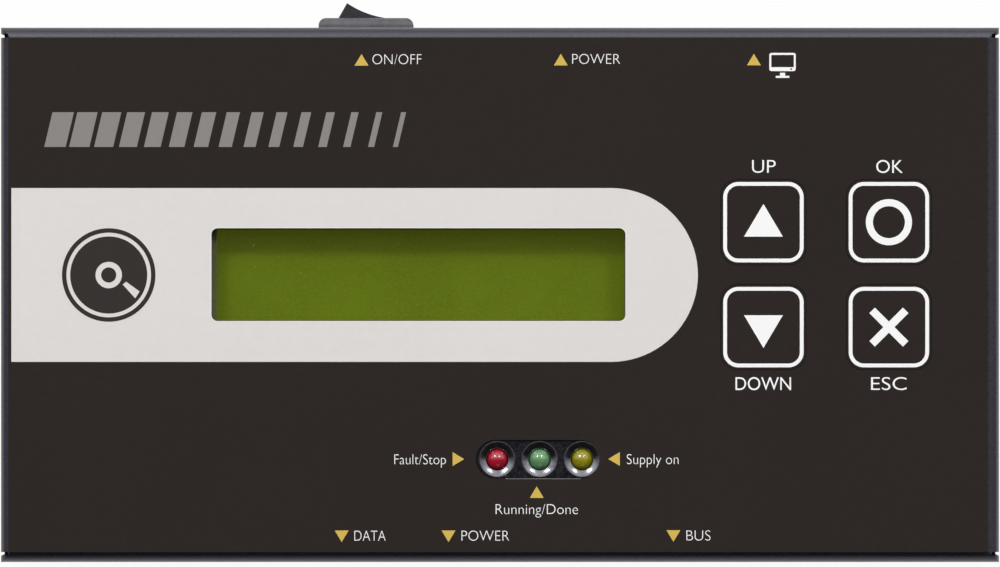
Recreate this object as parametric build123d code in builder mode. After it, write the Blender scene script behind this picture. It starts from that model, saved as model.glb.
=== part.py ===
from build123d import *
import os
from math import atan2, cos, degrees, radians, sin

# Portable drive erasing station: a folded steel case that lies flat, with a printed overlay, a
# character display, status lamps and four keys on top, a rocker switch, a power jack and a data
# socket in the rear wall, and the drive sockets in the front wall.
# Frame: +X to the operator's right, +Y to the rear, +Z up, origin at the bottom centre of the
# bounding box. All sizes are in millimetres.

# Case
BOARD_SPACING = 16.3
LEFT_SPACE = 26.4
PANEL_GAP = 2.6
RIGHT_SPACE = 4.0
SWITCH_SPACE = 1.4
ARM_GAP = 3.2
ARM_REAR_EDGE = 8.0
ARM_FRONT_EDGE = 12.5
FRONT_SPACE = 3.8
SHEET = 1.0
BEND = 1.7
SEAM_GAP = 0.6
SEAM_REACH = 1.2
BASE_GAP = 0.3
SIDE_FLANGE = 13.0
FRONT_LIP = 4.5
FOOT_HEIGHT = 2.5
FOOT_RADIUS = 5.0
FOOT_CHAMFER = 0.8
FOOT_INSET = 11.0

# Round parts that repeat have few sides, those that show twice as many
HIDDEN_SIDES = 8
ROUND_SIDES = 2 * HIDDEN_SIDES

# Cover screws, countersunk flush in the side walls
SCREW_RADIUS = 1.5
SCREW_HEAD_RADIUS = 2.7
SCREW_HEAD = 1.2
SCREW_LENGTH = 3.8
SCREW_RISE = 6.5
SCREW_SPACING = 56.0
SCREW_FIT = 0.08
RECESS_LENGTH = 2.8
RECESS_WIDTH = 0.7
RECESS_DEPTH = 0.9

# Overlay and the openings in it
OVERLAY_THICKNESS = 0.5
OVERLAY_MARGIN = 1.6
OVERLAY_SHIFT = -0.4
WINDOW_WIDTH = 65.5
WINDOW_DEPTH = 14.7
WINDOW_CORNER = 1.0
WINDOW_EDGE = 0.8
PANE = 0.8
PANE_LAP = 2.8
KEY_GAP_X = 6.45
KEY_GAP_Y = 3.2
KEY_SIZE = 13.4
KEY_CORNER = 2.6
KEY_SLIT = 0.08
KEY_CLEARANCE = 0.3
KEY_TRAVEL = 0.5
LAMP_X = 6.0
LED_SHIFT = 0.26
LED_SPACING = 6.7

# Keys: cap, switch stem and switch body
CAP_HEIGHT = 2.3
CAP_FLANGE = 0.8
CAP_FLANGE_REACH = 1.1
CAP_WALL = 1.2
CAP_INSET = 0.2
SOCKET_WALL = 1.6
SOCKET_CLEARANCE = 0.7
TACT_SIZE = 12.0
TACT_HEIGHT = 3.5
TACT_FLOOR = 0.9
TACT_LIP = 0.5
STEM_SIDE = 3.6
STEM_COLLAR = 1.5
STEM_DISC = 1.3
STEM_FIT = 0.2
LIP_FIT = 0.1

# Status lamps
LED_RADIUS = 1.7
LED_FLANGE_REACH = 0.35
LED_FLANGE = 1.0
LED_HEIGHT = 5.2
LED_BELOW_TOP = 0.3
DOME_STEPS = 4
LEAD_SIDE = 0.5
LEAD_SPACING = 2.54
LAMP_FIT = 0.1
LAMP_BELOW_TOP = 0.4
LAMP_FLANGE = 1.0
LAMP_FLANGE_REACH = 1.5
CUP_WIDTH = 1.05
CUP_RIM = 0.3
CUP_END = 0.35
CUP_DEPTH = 0.35
CUP_FIT = 0.15

# Display module
LCD_SHIFT = 0.3
LCD_GAP = 0.5
LCD_SIDE_EDGE = 4.4
LCD_HOLE_INSET = 2.5
LCD_POST_GAP = 0.3
BEZEL_SIDE_EDGE = 3.35
BEZEL_LONG_EDGE = 5.45
BEZEL_HEIGHT = 8.0
BEZEL_SHEET = 0.4
VIEW_SIDE_LAP = 0.5
VIEW_LONG_LAP = 0.2
GLASS_THICKNESS = 2.6
GLASS_FIT = 0.2
LCD_PINS = 16
LCD_PIN_START = 8.0
PIN_SPACING = 2.54
PIN_SIDE = 0.64
PIN_STRIP = 2.5
PIN_LENGTH = 8.0
STRIP_GAP = 3.5
PIN_SPARE = 1.0

# Boards and what carries them
BOARD = 1.6
MAIN_MARGIN_X = 5.0
MAIN_MARGIN_Y = 2.0
MAIN_STANDOFF = 5.0
MAIN_HOLE_INSET = 5.0
STANDOFF_RADIUS = 2.6
BOARD_SCREW_RADIUS = 1.25
BOARD_SCREW_HEAD_RADIUS = 2.3
BOARD_SCREW_HEAD = 1.7
BOARD_SCREW_LENGTH = 4.5
BOARD_HOLE_FIT = 0.2
THREAD_FIT = 0.05
PANEL_DROP = 7.5
PANEL_EDGE_X = 5.875
PANEL_EDGE_Y = 9.3
PANEL_HOLE_INSET = 3.2
KEYPAD_SHIFT = -0.9
ARM_LEFT_EDGE = 12.9

# Parts on the main board
CHIP_SIDE = 20.0
CHIP_HEIGHT = 1.8
CHIP_X = -38.0
CHIP_Y = -10.0
CHIP_BEVEL = 0.3
MEMORY_LENGTH = 18.4
MEMORY_WIDTH = 8.0
MEMORY_HEIGHT = 1.2
MEMORY_X = 5.0
MEMORY_Y = -12.0
MEMORY_SPACING = 13.0
CAN_RADIUS = 3.15
CAN_HEIGHT = 9.0
CAN_FROM_RIGHT = 17.0
CAN_FROM_REAR = 28.3
CAN_SPACING = 8.4
CAN_CHAMFER = 0.5
COIL_SIDE = 10.0
COIL_HEIGHT = 5.0
COIL_X = 26.0
COIL_Y = 14.0
COIL_BEVEL = 1.5

# Sockets: each mouth stands this far behind the outer face of its wall
MOUTH_INSET = 0.2
WALL_FIT = 0.3
SOCKET_SEAT = 0.1

DATA_X = -25.1
DATA_WALL = 1.3
DATA_BACK = 4.1
DATA_TONGUE_GAP = 1.8
DATA_CAVITY_HEIGHT = 5.0
DATA_CAVITY_DEPTH = 6.4
DATA_TONGUE_WIDTH = 10.6
DATA_TONGUE = 1.3
DATA_KEY = 2.4
DATA_TONGUE_SETBACK = 0.6
DATA_CONTACTS = 7
DATA_SPACING = 1.27
CONTACT_WIDTH = 0.7
CONTACT = 0.15

DATA_TO_FEED = 3.8
FEED_WALL = 0.9
FEED_BACK = 3.2
FEED_SPACING = 4.2
FEED_POCKET = 3.6
FEED_DEPTH = 9.6
FEED_BEVEL = 0.9
FEED_PIN_SIDE = 1.1
FEED_PIN_SETBACK = 1.6
LATCH_WIDTH = 3.0
LATCH_HEIGHT = 1.0
LATCH_LENGTH = 3.2
LATCH_SETBACK = 3.0

FEED_TO_RIBBON = 1.7
RIBBON_END_WALL = 3.2
RIBBON_LONG_WALL = 1.3
RIBBON_BACK = 2.8
RIBBON_END_GAP = 1.67
RIBBON_CAVITY_HEIGHT = 6.4
RIBBON_CAVITY_DEPTH = 6.4
RIBBON_NOTCH = 4.5
RIBBON_COLUMNS = 20
RIBBON_PIN_SETBACK = 0.8
RIBBON_MISSING_COLUMN = 10

HOST_X = 40.2
HOST_SIDE_WALL = 1.3
HOST_LONG_WALL = 1.1
HOST_BACK = 7.2
HOST_SHELL = 0.4
HOST_MOUTH_WIDTH = 8.6
HOST_MOUTH_HEIGHT = 7.9
HOST_MOUTH_BEVEL = 1.7
HOST_MOUTH_DEPTH = 9.0
HOST_TONGUE_WIDTH = 5.7
HOST_TONGUE_HEIGHT = 3.0
HOST_TONGUE_SETBACK = 1.0
HOST_CONTACT_SPACING = 2.5
HOST_CONTACT_WIDTH = 1.0
HOST_CONTACT_LENGTH = 6.0

JACK_X = 9.7
JACK_WALL = 1.35
JACK_BACK = 4.5
JACK_AXIS = 6.5
JACK_BORE_RADIUS = 3.15
JACK_BORE_DEPTH = 9.5
JACK_PIN_RADIUS = 1.05
JACK_PIN_SETBACK = 0.8

# Rocker switch in the rear wall
SWITCH_X = -21.3
SWITCH_RISE = 4.4
SWITCH_FLANGE_SIDE_LAP = 1.025
SWITCH_FLANGE_LONG_LAP = 1.05
SWITCH_FLANGE = 1.7
SWITCH_FLANGE_ROUND = 1.2
SWITCH_END_WALL = 0.62
SWITCH_LONG_WALL = 0.8
SWITCH_BODY_DEPTH = 12.0
SWITCH_FLOOR = 1.0
SWITCH_PANEL_FIT = 0.1
CLIP_REACH = 0.5
CLIP_LENGTH = 2.2
CLIP_WIDTH = 4.0
CLIP_FIT = 0.05
PIVOT_DEPTH = 2.0
PIVOT_RADIUS = 1.0
PIVOT_FIT = 0.05
PIVOT_REACH = 0.7
ROCKER_WIDTH = 6.4
ROCKER_FIT = 0.2
ROCKER_TILT = 16.0
ROCKER_TIP = 4.58
ROCKER_RISE = 5.02
ROCKER_DISH = 0.73
ROCKER_END_RADIUS = 5.68
ROCKER_END_TOP = 21.6
ROCKER_END_BOTTOM = -20.0
PLUNGER_RADIUS = 0.7
PLUNGER_REACH = 3.9
LEVER_LENGTH = 9.4
LEVER_WIDTH = 3.0
LEVER_SHEET = 0.6
LEVER_TILT = 8.0
PLUNGER_FIT = 0.2
LEVER_TRUNNION = 0.5
LEVER_TRUNNION_LENGTH = 4.4
TERMINAL_SHEET = 0.8
TERMINAL_WIDTH = 3.2
TERMINAL_LENGTH = 4.5
TERMINAL_OFFSET = 4.4
CRADLE_FIT = 0.06
CONTACT_GAP = 0.15

# Wiring
WIRE_RADIUS = 0.8
WIRE_SIDES = 6
WIRE_RUN = 3.2
WIRE_BEND = 2.2
WIRE_HEADER_WIDTH = 9.5
WIRE_HEADER_DEPTH = 5.0
WIRE_HEADER_HEIGHT = 4.5
CABLE_WIDTH = 16.0
CABLE = 0.6
CABLE_X = 48.0
CABLE_GAP = 0.9
CABLE_RUN = 7.0
CABLE_BEND = 2.5
CABLE_SOCKET_WIDTH = 20.0
CABLE_SOCKET_DEPTH = 4.0
CABLE_SOCKET_HEIGHT = 3.5

# Sizes worked out from those above
KEY_SPACING_X = KEY_SIZE + KEY_GAP_X
KEY_SPACING_Y = KEY_SIZE + KEY_GAP_Y
SCREW_TAPER = degrees(atan2(SCREW_HEAD_RADIUS - SCREW_RADIUS, SCREW_HEAD))
SOCKET_SIDE = STEM_SIDE + 2 * SOCKET_WALL
STEM_DISC_RADIUS = STEM_SIDE / 2 + STEM_COLLAR
LED_FLANGE_RADIUS = LED_RADIUS + LED_FLANGE_REACH
CUP_RADIUS = LED_RADIUS + CUP_WIDTH
VIEW_WIDTH = WINDOW_WIDTH - 2 * VIEW_SIDE_LAP
VIEW_DEPTH = WINDOW_DEPTH - 2 * VIEW_LONG_LAP
BEZEL_WIDTH = VIEW_WIDTH + 2 * BEZEL_SIDE_EDGE
BEZEL_DEPTH = VIEW_DEPTH + 2 * BEZEL_LONG_EDGE
LCD_WIDTH = BEZEL_WIDTH + 2 * LCD_SIDE_EDGE
LCD_DEPTH = BEZEL_DEPTH + 2 * LCD_HOLE_INSET + 2 * STANDOFF_RADIUS + 2 * LCD_POST_GAP
DATA_CAVITY_WIDTH = DATA_TONGUE_WIDTH + 2 * DATA_TONGUE_GAP
DATA_WIDTH = DATA_CAVITY_WIDTH + 2 * DATA_WALL
DATA_HEIGHT = DATA_CAVITY_HEIGHT + 2 * DATA_WALL
DATA_LENGTH = DATA_CAVITY_DEPTH + DATA_BACK
DATA_TONGUE_LENGTH = DATA_CAVITY_DEPTH - DATA_TONGUE_SETBACK
FEED_SIDE = FEED_SPACING + FEED_POCKET + 2 * FEED_WALL
FEED_LENGTH = FEED_DEPTH + FEED_BACK
FEED_PIN_LENGTH = FEED_DEPTH - FEED_PIN_SETBACK
FEED_X = DATA_X + DATA_WIDTH / 2 + DATA_TO_FEED + FEED_SIDE / 2
RIBBON_CAVITY_WIDTH = (RIBBON_COLUMNS - 1) * PIN_SPACING + 2 * RIBBON_END_GAP
RIBBON_WIDTH = RIBBON_CAVITY_WIDTH + 2 * RIBBON_END_WALL
RIBBON_HEIGHT = RIBBON_CAVITY_HEIGHT + 2 * RIBBON_LONG_WALL
RIBBON_LENGTH = RIBBON_CAVITY_DEPTH + RIBBON_BACK
RIBBON_PIN_LENGTH = RIBBON_CAVITY_DEPTH - RIBBON_PIN_SETBACK
RIBBON_X = FEED_X + FEED_SIDE / 2 + FEED_TO_RIBBON + RIBBON_WIDTH / 2
HOST_WIDTH = HOST_MOUTH_WIDTH + 2 * HOST_SIDE_WALL + 2 * HOST_SHELL
HOST_HEIGHT = HOST_MOUTH_HEIGHT + 2 * HOST_LONG_WALL + 2 * HOST_SHELL
HOST_LENGTH = HOST_MOUTH_DEPTH + HOST_BACK
HOST_TONGUE_LENGTH = HOST_MOUTH_DEPTH - HOST_TONGUE_SETBACK
JACK_WIDTH = 2 * JACK_BORE_RADIUS + 2 * JACK_WALL
JACK_HEIGHT = JACK_AXIS + JACK_BORE_RADIUS + JACK_WALL
JACK_LENGTH = JACK_BORE_DEPTH + JACK_BACK
JACK_PIN_LENGTH = JACK_BORE_DEPTH - JACK_PIN_SETBACK
OPENING_LENGTH = 2 * ROCKER_END_RADIUS + 2 * ROCKER_FIT
OPENING_HEIGHT = ROCKER_WIDTH + 2 * ROCKER_FIT
SWITCH_BODY_WIDTH = OPENING_LENGTH + 2 * SWITCH_END_WALL
SWITCH_BODY_HEIGHT = OPENING_HEIGHT + 2 * SWITCH_LONG_WALL
SWITCH_FLANGE_WIDTH = SWITCH_BODY_WIDTH + 2 * SWITCH_FLANGE_SIDE_LAP
SWITCH_FLANGE_HEIGHT = SWITCH_BODY_HEIGHT + 2 * SWITCH_FLANGE_LONG_LAP

# Heights and faces worked out
ROCKER_PEAK = (
    ROCKER_TIP * sin(radians(ROCKER_TILT)) + ROCKER_RISE * cos(radians(ROCKER_TILT)) - PIVOT_DEPTH
)
PANEL_WIDTH = KEY_SPACING_X + KEY_SIZE + 2 * PANEL_EDGE_X
REAR_SPACE = SWITCH_BODY_DEPTH + TERMINAL_LENGTH + WIRE_RUN + SWITCH_SPACE
CASE_WIDTH = LEFT_SPACE + LCD_WIDTH + PANEL_GAP + PANEL_WIDTH + RIGHT_SPACE
CASE_DEPTH = REAR_SPACE + LCD_DEPTH + ARM_GAP + ARM_REAR_EDGE + ARM_FRONT_EDGE + FRONT_SPACE
CASE_Y = -ROCKER_PEAK / 2
REAR = CASE_Y + CASE_DEPTH / 2
FRONT = CASE_Y - CASE_DEPTH / 2
LEFT = -CASE_WIDTH / 2
RIGHT = CASE_WIDTH / 2
CASE_HEIGHT = SHEET + MAIN_STANDOFF + BOARD + BOARD_SPACING + BOARD + PANEL_DROP + SHEET
BASE_TOP = FOOT_HEIGHT + SHEET
COVER_TOP = FOOT_HEIGHT + CASE_HEIGHT
COVER_UNDER = COVER_TOP - SHEET
OVERLAY_TOP = COVER_TOP + OVERLAY_THICKNESS
BASE_WIDTH = CASE_WIDTH - 2 * SHEET - 2 * BASE_GAP
BASE_DEPTH = CASE_DEPTH - 2 * SHEET - 2 * BASE_GAP
MAIN_UNDER = BASE_TOP + MAIN_STANDOFF
MAIN_TOP = MAIN_UNDER + BOARD
PANEL_TOP = COVER_UNDER - PANEL_DROP
PANEL_UNDER = PANEL_TOP - BOARD
LCD_TOP = COVER_UNDER - PANE - LCD_GAP - BEZEL_HEIGHT
LCD_UNDER = LCD_TOP - BOARD
SWITCH_Z = MAIN_TOP + WIRE_HEADER_HEIGHT + SWITCH_RISE
SCREW_HEIGHT = FOOT_HEIGHT + SCREW_RISE

LCD = (LEFT + LEFT_SPACE + LCD_WIDTH / 2, REAR - REAR_SPACE - LCD_DEPTH / 2)
WINDOW = (LCD[0] - LCD_SHIFT, LCD[1])
LCD_HOLE_X = LCD_WIDTH - 2 * LCD_HOLE_INSET
LCD_HOLE_Y = LCD_DEPTH - 2 * LCD_HOLE_INSET
PANEL_RIGHT = RIGHT - RIGHT_SPACE
PANEL_LEFT = PANEL_RIGHT - PANEL_WIDTH
PANEL_ARM_REAR = LCD[1] - LCD_DEPTH / 2 - ARM_GAP
LAMP = (LAMP_X, PANEL_ARM_REAR - ARM_REAR_EDGE)
PANEL_FRONT = LAMP[1] - ARM_FRONT_EDGE
LAMP_WIDTH = 2 * LED_SPACING + 2 * CUP_RADIUS + 2 * CUP_END
LAMP_DEPTH = 2 * CUP_RADIUS + 2 * CUP_RIM
PANEL_ARM_LEFT = LAMP[0] - LED_SPACING - ARM_LEFT_EDGE
KEYPAD = ((PANEL_LEFT + PANEL_RIGHT) / 2 + KEYPAD_SHIFT, LCD[1])
PANEL_REAR = KEYPAD[1] + KEY_SPACING_Y / 2 + KEY_SIZE / 2 + PANEL_EDGE_Y
KEYS = {
    "up": (KEYPAD[0] - KEY_SPACING_X / 2, KEYPAD[1] + KEY_SPACING_Y / 2),
    "ok": (KEYPAD[0] + KEY_SPACING_X / 2, KEYPAD[1] + KEY_SPACING_Y / 2),
    "down": (KEYPAD[0] - KEY_SPACING_X / 2, KEYPAD[1] - KEY_SPACING_Y / 2),
    "esc": (KEYPAD[0] + KEY_SPACING_X / 2, KEYPAD[1] - KEY_SPACING_Y / 2),
}
LEDS = {
    name: (LAMP[0] + LED_SHIFT + place * LED_SPACING, LAMP[1])
    for name, place in (("red", -1), ("green", 0), ("yellow", 1))
}

DATA_Z = MAIN_TOP + SOCKET_SEAT + DATA_HEIGHT / 2
FEED_Z = MAIN_TOP + SOCKET_SEAT + FEED_SIDE / 2
RIBBON_Z = MAIN_TOP + SOCKET_SEAT + RIBBON_HEIGHT / 2
HOST_Z = MAIN_TOP + SOCKET_SEAT + HOST_HEIGHT / 2
JACK_Z = MAIN_TOP + SOCKET_SEAT + JACK_AXIS
JACK_MIDDLE = MAIN_TOP + SOCKET_SEAT + JACK_HEIGHT / 2
FRONT_MOUTH = FRONT + MOUTH_INSET
REAR_MOUTH = REAR - MOUTH_INSET

# Upright planes: local x is X and local y is Z. A rear plane's extrusion runs into the case, and a
# front plane is turned about so that its extrusion runs into the case too.
REAR_FACE = Plane.XZ.offset(-REAR)
REAR_MOUTH_FACE = Plane.XZ.offset(-REAR_MOUTH)
FRONT_INNER = Plane.XZ.offset(-(FRONT + SHEET))


def front_depth(depth):
    """Upright plane at this depth behind the front mouths; extruding from it runs to the front."""
    return Plane.XZ.offset(-(FRONT_MOUTH + depth))


def rear_depth(depth):
    """Upright plane at this depth behind the rear mouths; extruding from it runs into the case."""
    return Plane.XZ.offset(-(REAR_MOUTH - depth))


def save(piece, name):
    """Labels a finished piece and writes it."""
    piece.part.label = name
    export_step(piece.part, f"parts/{name}.step")


os.makedirs("parts", exist_ok=True)

# Side screws: one plane for each, facing outwards
SCREW_PLANES = [
    Plane(origin=(side * CASE_WIDTH / 2, CASE_Y + row * SCREW_SPACING / 2, SCREW_HEIGHT), z_dir=(side, 0, 0))
    for side in (-1, 1)
    for row in (-1, 1)
]

# Cover: one sheet folded down on four sides. The front and rear walls run the full width, and the
# side walls stop short of them, which leaves an open seam at each corner.
with BuildPart() as top_cover:
    with BuildSketch(Plane.XY.offset(FOOT_HEIGHT)):
        with Locations((0, CASE_Y)):
            Rectangle(CASE_WIDTH, CASE_DEPTH)
    extrude(amount=CASE_HEIGHT)
    fillet(top_cover.faces().sort_by(Axis.Z)[-1].edges(), BEND)
    offset(amount=-SHEET, openings=top_cover.faces().sort_by(Axis.Z)[0])
    with BuildSketch(Plane.XY.offset(FOOT_HEIGHT)):
        with Locations((0, CASE_Y)):
            with GridLocations(CASE_WIDTH - SEAM_REACH, CASE_DEPTH - 2 * SHEET - SEAM_GAP, 2, 2):
                Rectangle(SEAM_REACH, SEAM_GAP)
    extrude(amount=CASE_HEIGHT, mode=Mode.SUBTRACT)
    with BuildSketch(Plane.XY.offset(COVER_UNDER)):
        with Locations(WINDOW):
            Rectangle(WINDOW_WIDTH + 2 * WINDOW_EDGE, WINDOW_DEPTH + 2 * WINDOW_EDGE)
        with Locations(*KEYS.values()):
            Rectangle(KEY_SIZE + 2 * KEY_CLEARANCE, KEY_SIZE + 2 * KEY_CLEARANCE)
        with Locations(LAMP):
            Rectangle(LAMP_WIDTH, LAMP_DEPTH)
    extrude(amount=SHEET, mode=Mode.SUBTRACT)
    with BuildSketch(REAR_FACE):
        with Locations((SWITCH_X, SWITCH_Z)):
            Rectangle(SWITCH_BODY_WIDTH + 2 * SWITCH_PANEL_FIT, SWITCH_BODY_HEIGHT + 2 * SWITCH_PANEL_FIT)
        with Locations((JACK_X, JACK_MIDDLE)):
            Rectangle(JACK_WIDTH + 2 * WALL_FIT, JACK_HEIGHT + 2 * WALL_FIT)
        with Locations((HOST_X, HOST_Z)):
            Rectangle(HOST_WIDTH + 2 * WALL_FIT, HOST_HEIGHT + 2 * WALL_FIT)
    extrude(amount=SHEET, mode=Mode.SUBTRACT)
    with BuildSketch(FRONT_INNER):
        with Locations((DATA_X, DATA_Z)):
            Rectangle(DATA_WIDTH + 2 * WALL_FIT, DATA_HEIGHT + 2 * WALL_FIT)
        with Locations((FEED_X, FEED_Z)):
            Rectangle(FEED_SIDE + 2 * WALL_FIT, FEED_SIDE + 2 * WALL_FIT)
        with Locations((RIBBON_X, RIBBON_Z)):
            Rectangle(RIBBON_WIDTH + 2 * WALL_FIT, RIBBON_HEIGHT + 2 * WALL_FIT)
    extrude(amount=SHEET, mode=Mode.SUBTRACT)
    with BuildSketch(*SCREW_PLANES):
        RegularPolygon(SCREW_HEAD_RADIUS + SCREW_FIT, ROUND_SIDES)
    extrude(amount=-SHEET, taper=SCREW_TAPER, mode=Mode.SUBTRACT)
save(top_cover, "top_cover")

# Base: a shallow tray between the cover's walls, with two tall side flanges that take the screws
with BuildPart() as base_plate:
    with BuildSketch(Plane.XY.offset(FOOT_HEIGHT)):
        with Locations((0, CASE_Y)):
            Rectangle(BASE_WIDTH, BASE_DEPTH)
    extrude(amount=SIDE_FLANGE)
    fillet(base_plate.faces().sort_by(Axis.Z)[0].edges(), BEND)
    offset(amount=-SHEET, openings=base_plate.faces().sort_by(Axis.Z)[-1])
    with BuildSketch(Plane.XY.offset(FOOT_HEIGHT + FRONT_LIP)):
        with Locations((0, CASE_Y)):
            Rectangle(BASE_WIDTH - 2 * SHEET, BASE_DEPTH)
            with GridLocations(BASE_WIDTH - SHEET, BASE_DEPTH - SHEET - SEAM_GAP, 2, 2):
                Rectangle(SHEET, SHEET + SEAM_GAP)
    extrude(amount=SIDE_FLANGE, mode=Mode.SUBTRACT)
    with BuildSketch(Plane.XY.offset(FOOT_HEIGHT)):
        with Locations((0, CASE_Y)):
            with GridLocations(BASE_WIDTH - SEAM_REACH, BASE_DEPTH - 2 * SHEET - SEAM_GAP, 2, 2):
                Rectangle(SEAM_REACH, SEAM_GAP)
    extrude(amount=SIDE_FLANGE, mode=Mode.SUBTRACT)
    with BuildSketch(*[plane.offset(-SHEET) for plane in SCREW_PLANES]):
        RegularPolygon(SCREW_RADIUS + SCREW_FIT, HIDDEN_SIDES)
    extrude(amount=-SHEET - 2 * BASE_GAP, mode=Mode.SUBTRACT)
save(base_plate, "base_plate")

with BuildPart() as cover_screws:
    with BuildSketch(*SCREW_PLANES):
        RegularPolygon(SCREW_HEAD_RADIUS, ROUND_SIDES)
    extrude(amount=-SCREW_HEAD, taper=SCREW_TAPER)
    with Locations(*SCREW_PLANES):
        for turn in (0, 90):
            Box(
                RECESS_LENGTH,
                RECESS_WIDTH,
                RECESS_DEPTH,
                rotation=(0, 0, turn),
                align=(Align.CENTER, Align.CENTER, Align.MAX),
                mode=Mode.SUBTRACT,
            )
    with BuildSketch(*[plane.offset(-SCREW_HEAD) for plane in SCREW_PLANES]):
        RegularPolygon(SCREW_RADIUS, HIDDEN_SIDES)
    extrude(amount=-SCREW_LENGTH)
save(cover_screws, "cover_screws")

with BuildPart() as rubber_feet:
    with BuildSketch(Plane.XY.offset(FOOT_HEIGHT)):
        with Locations((0, CASE_Y)):
            with GridLocations(CASE_WIDTH - 2 * FOOT_INSET, CASE_DEPTH - 2 * FOOT_INSET, 2, 2):
                RegularPolygon(FOOT_RADIUS, ROUND_SIDES)
    extrude(amount=-FOOT_HEIGHT)
    chamfer(rubber_feet.edges().group_by(Axis.Z)[0], FOOT_CHAMFER)
save(rubber_feet, "rubber_feet")

with BuildPart() as overlay:
    with BuildSketch(Plane.XY.offset(COVER_TOP)):
        with Locations((OVERLAY_SHIFT, CASE_Y)):
            Rectangle(CASE_WIDTH - 2 * OVERLAY_MARGIN, CASE_DEPTH - 2 * OVERLAY_MARGIN)
        with Locations(WINDOW):
            RectangleRounded(WINDOW_WIDTH, WINDOW_DEPTH, WINDOW_CORNER, mode=Mode.SUBTRACT)
        with Locations(*KEYS.values()):
            RectangleRounded(
                KEY_SIZE + 2 * KEY_SLIT, KEY_SIZE + 2 * KEY_SLIT, KEY_CORNER + KEY_SLIT, mode=Mode.SUBTRACT
            )
        with Locations(LAMP):
            SlotOverall(LAMP_WIDTH, LAMP_DEPTH, mode=Mode.SUBTRACT)
    extrude(amount=OVERLAY_THICKNESS)
save(overlay, "overlay")

# Clear pane bonded to the underside of the cover, behind the window
with BuildPart() as window_pane:
    with BuildSketch(Plane.XY.offset(COVER_UNDER)):
        with Locations(WINDOW):
            Rectangle(WINDOW_WIDTH + 2 * WINDOW_EDGE + 2 * PANE_LAP, WINDOW_DEPTH + 2 * WINDOW_EDGE + 2 * PANE_LAP)
    extrude(amount=-PANE)
save(window_pane, "window_pane")

# Keys: a patch of the overlay on a moulded cap, on the stem of a push switch
CAP_BOTTOM = COVER_TOP - CAP_HEIGHT
TACT_TOP = PANEL_TOP + TACT_HEIGHT
STEM_DISC_TOP = TACT_TOP - TACT_LIP - LIP_FIT
STEM_TOP = CAP_BOTTOM + CAP_FLANGE
SOCKET_BOTTOM = TACT_TOP + KEY_TRAVEL + SOCKET_CLEARANCE
for key, place in KEYS.items():
    with BuildPart() as patch:
        with BuildSketch(Plane.XY.offset(COVER_TOP)):
            with Locations(place):
                RectangleRounded(KEY_SIZE, KEY_SIZE, KEY_CORNER)
        extrude(amount=OVERLAY_THICKNESS)
    save(patch, f"key_{key}_patch")

    with BuildPart() as cap:
        with BuildSketch(Plane.XY.offset(CAP_BOTTOM)):
            with Locations(place):
                Rectangle(KEY_SIZE + 2 * CAP_FLANGE_REACH, KEY_SIZE + 2 * CAP_FLANGE_REACH)
        extrude(amount=CAP_FLANGE)
        with BuildSketch(Plane.XY.offset(CAP_BOTTOM)) as crown:
            with Locations(place):
                Rectangle(KEY_SIZE - 2 * CAP_INSET, KEY_SIZE - 2 * CAP_INSET)
            chamfer(crown.vertices(), KEY_CORNER - CAP_INSET)
        extrude(amount=CAP_HEIGHT)
        with BuildSketch(Plane.XY.offset(CAP_BOTTOM)):
            with Locations(place):
                Rectangle(KEY_SIZE - 2 * CAP_INSET - 2 * CAP_WALL, KEY_SIZE - 2 * CAP_INSET - 2 * CAP_WALL)
        extrude(amount=CAP_HEIGHT - CAP_WALL, mode=Mode.SUBTRACT)
        with BuildSketch(Plane.XY.offset(SOCKET_BOTTOM)):
            with Locations(place):
                Rectangle(SOCKET_SIDE, SOCKET_SIDE)
        extrude(amount=COVER_TOP - CAP_WALL - SOCKET_BOTTOM)
        with BuildSketch(Plane.XY.offset(SOCKET_BOTTOM)):
            with Locations(place):
                Rectangle(STEM_SIDE, STEM_SIDE)
        extrude(amount=STEM_TOP - SOCKET_BOTTOM, mode=Mode.SUBTRACT)
    save(cap, f"key_{key}_cap")

    with BuildPart() as stem:
        with BuildSketch(Plane.XY.offset(STEM_DISC_TOP)):
            with Locations(place):
                RegularPolygon(STEM_DISC_RADIUS, HIDDEN_SIDES)
        extrude(amount=-STEM_DISC)
        with BuildSketch(Plane.XY.offset(STEM_DISC_TOP)):
            with Locations(place):
                Rectangle(STEM_SIDE, STEM_SIDE)
        extrude(amount=STEM_TOP - STEM_DISC_TOP)
    save(stem, f"key_{key}_stem")

with BuildPart() as tact_switches:
    with BuildSketch(Plane.XY.offset(PANEL_TOP)):
        with Locations(*KEYS.values()):
            Rectangle(TACT_SIZE, TACT_SIZE)
    extrude(amount=TACT_HEIGHT)
    with BuildSketch(Plane.XY.offset(PANEL_TOP + TACT_FLOOR)):
        with Locations(*KEYS.values()):
            RegularPolygon(STEM_DISC_RADIUS + STEM_FIT, HIDDEN_SIDES)
    extrude(amount=TACT_HEIGHT - TACT_FLOOR - TACT_LIP, mode=Mode.SUBTRACT)
    with BuildSketch(Plane.XY.offset(TACT_TOP - TACT_LIP)):
        with Locations(*KEYS.values()):
            Rectangle(STEM_SIDE + 2 * STEM_FIT, STEM_SIDE + 2 * STEM_FIT)
    extrude(amount=TACT_LIP, mode=Mode.SUBTRACT)
save(tact_switches, "tact_switches")

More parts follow.
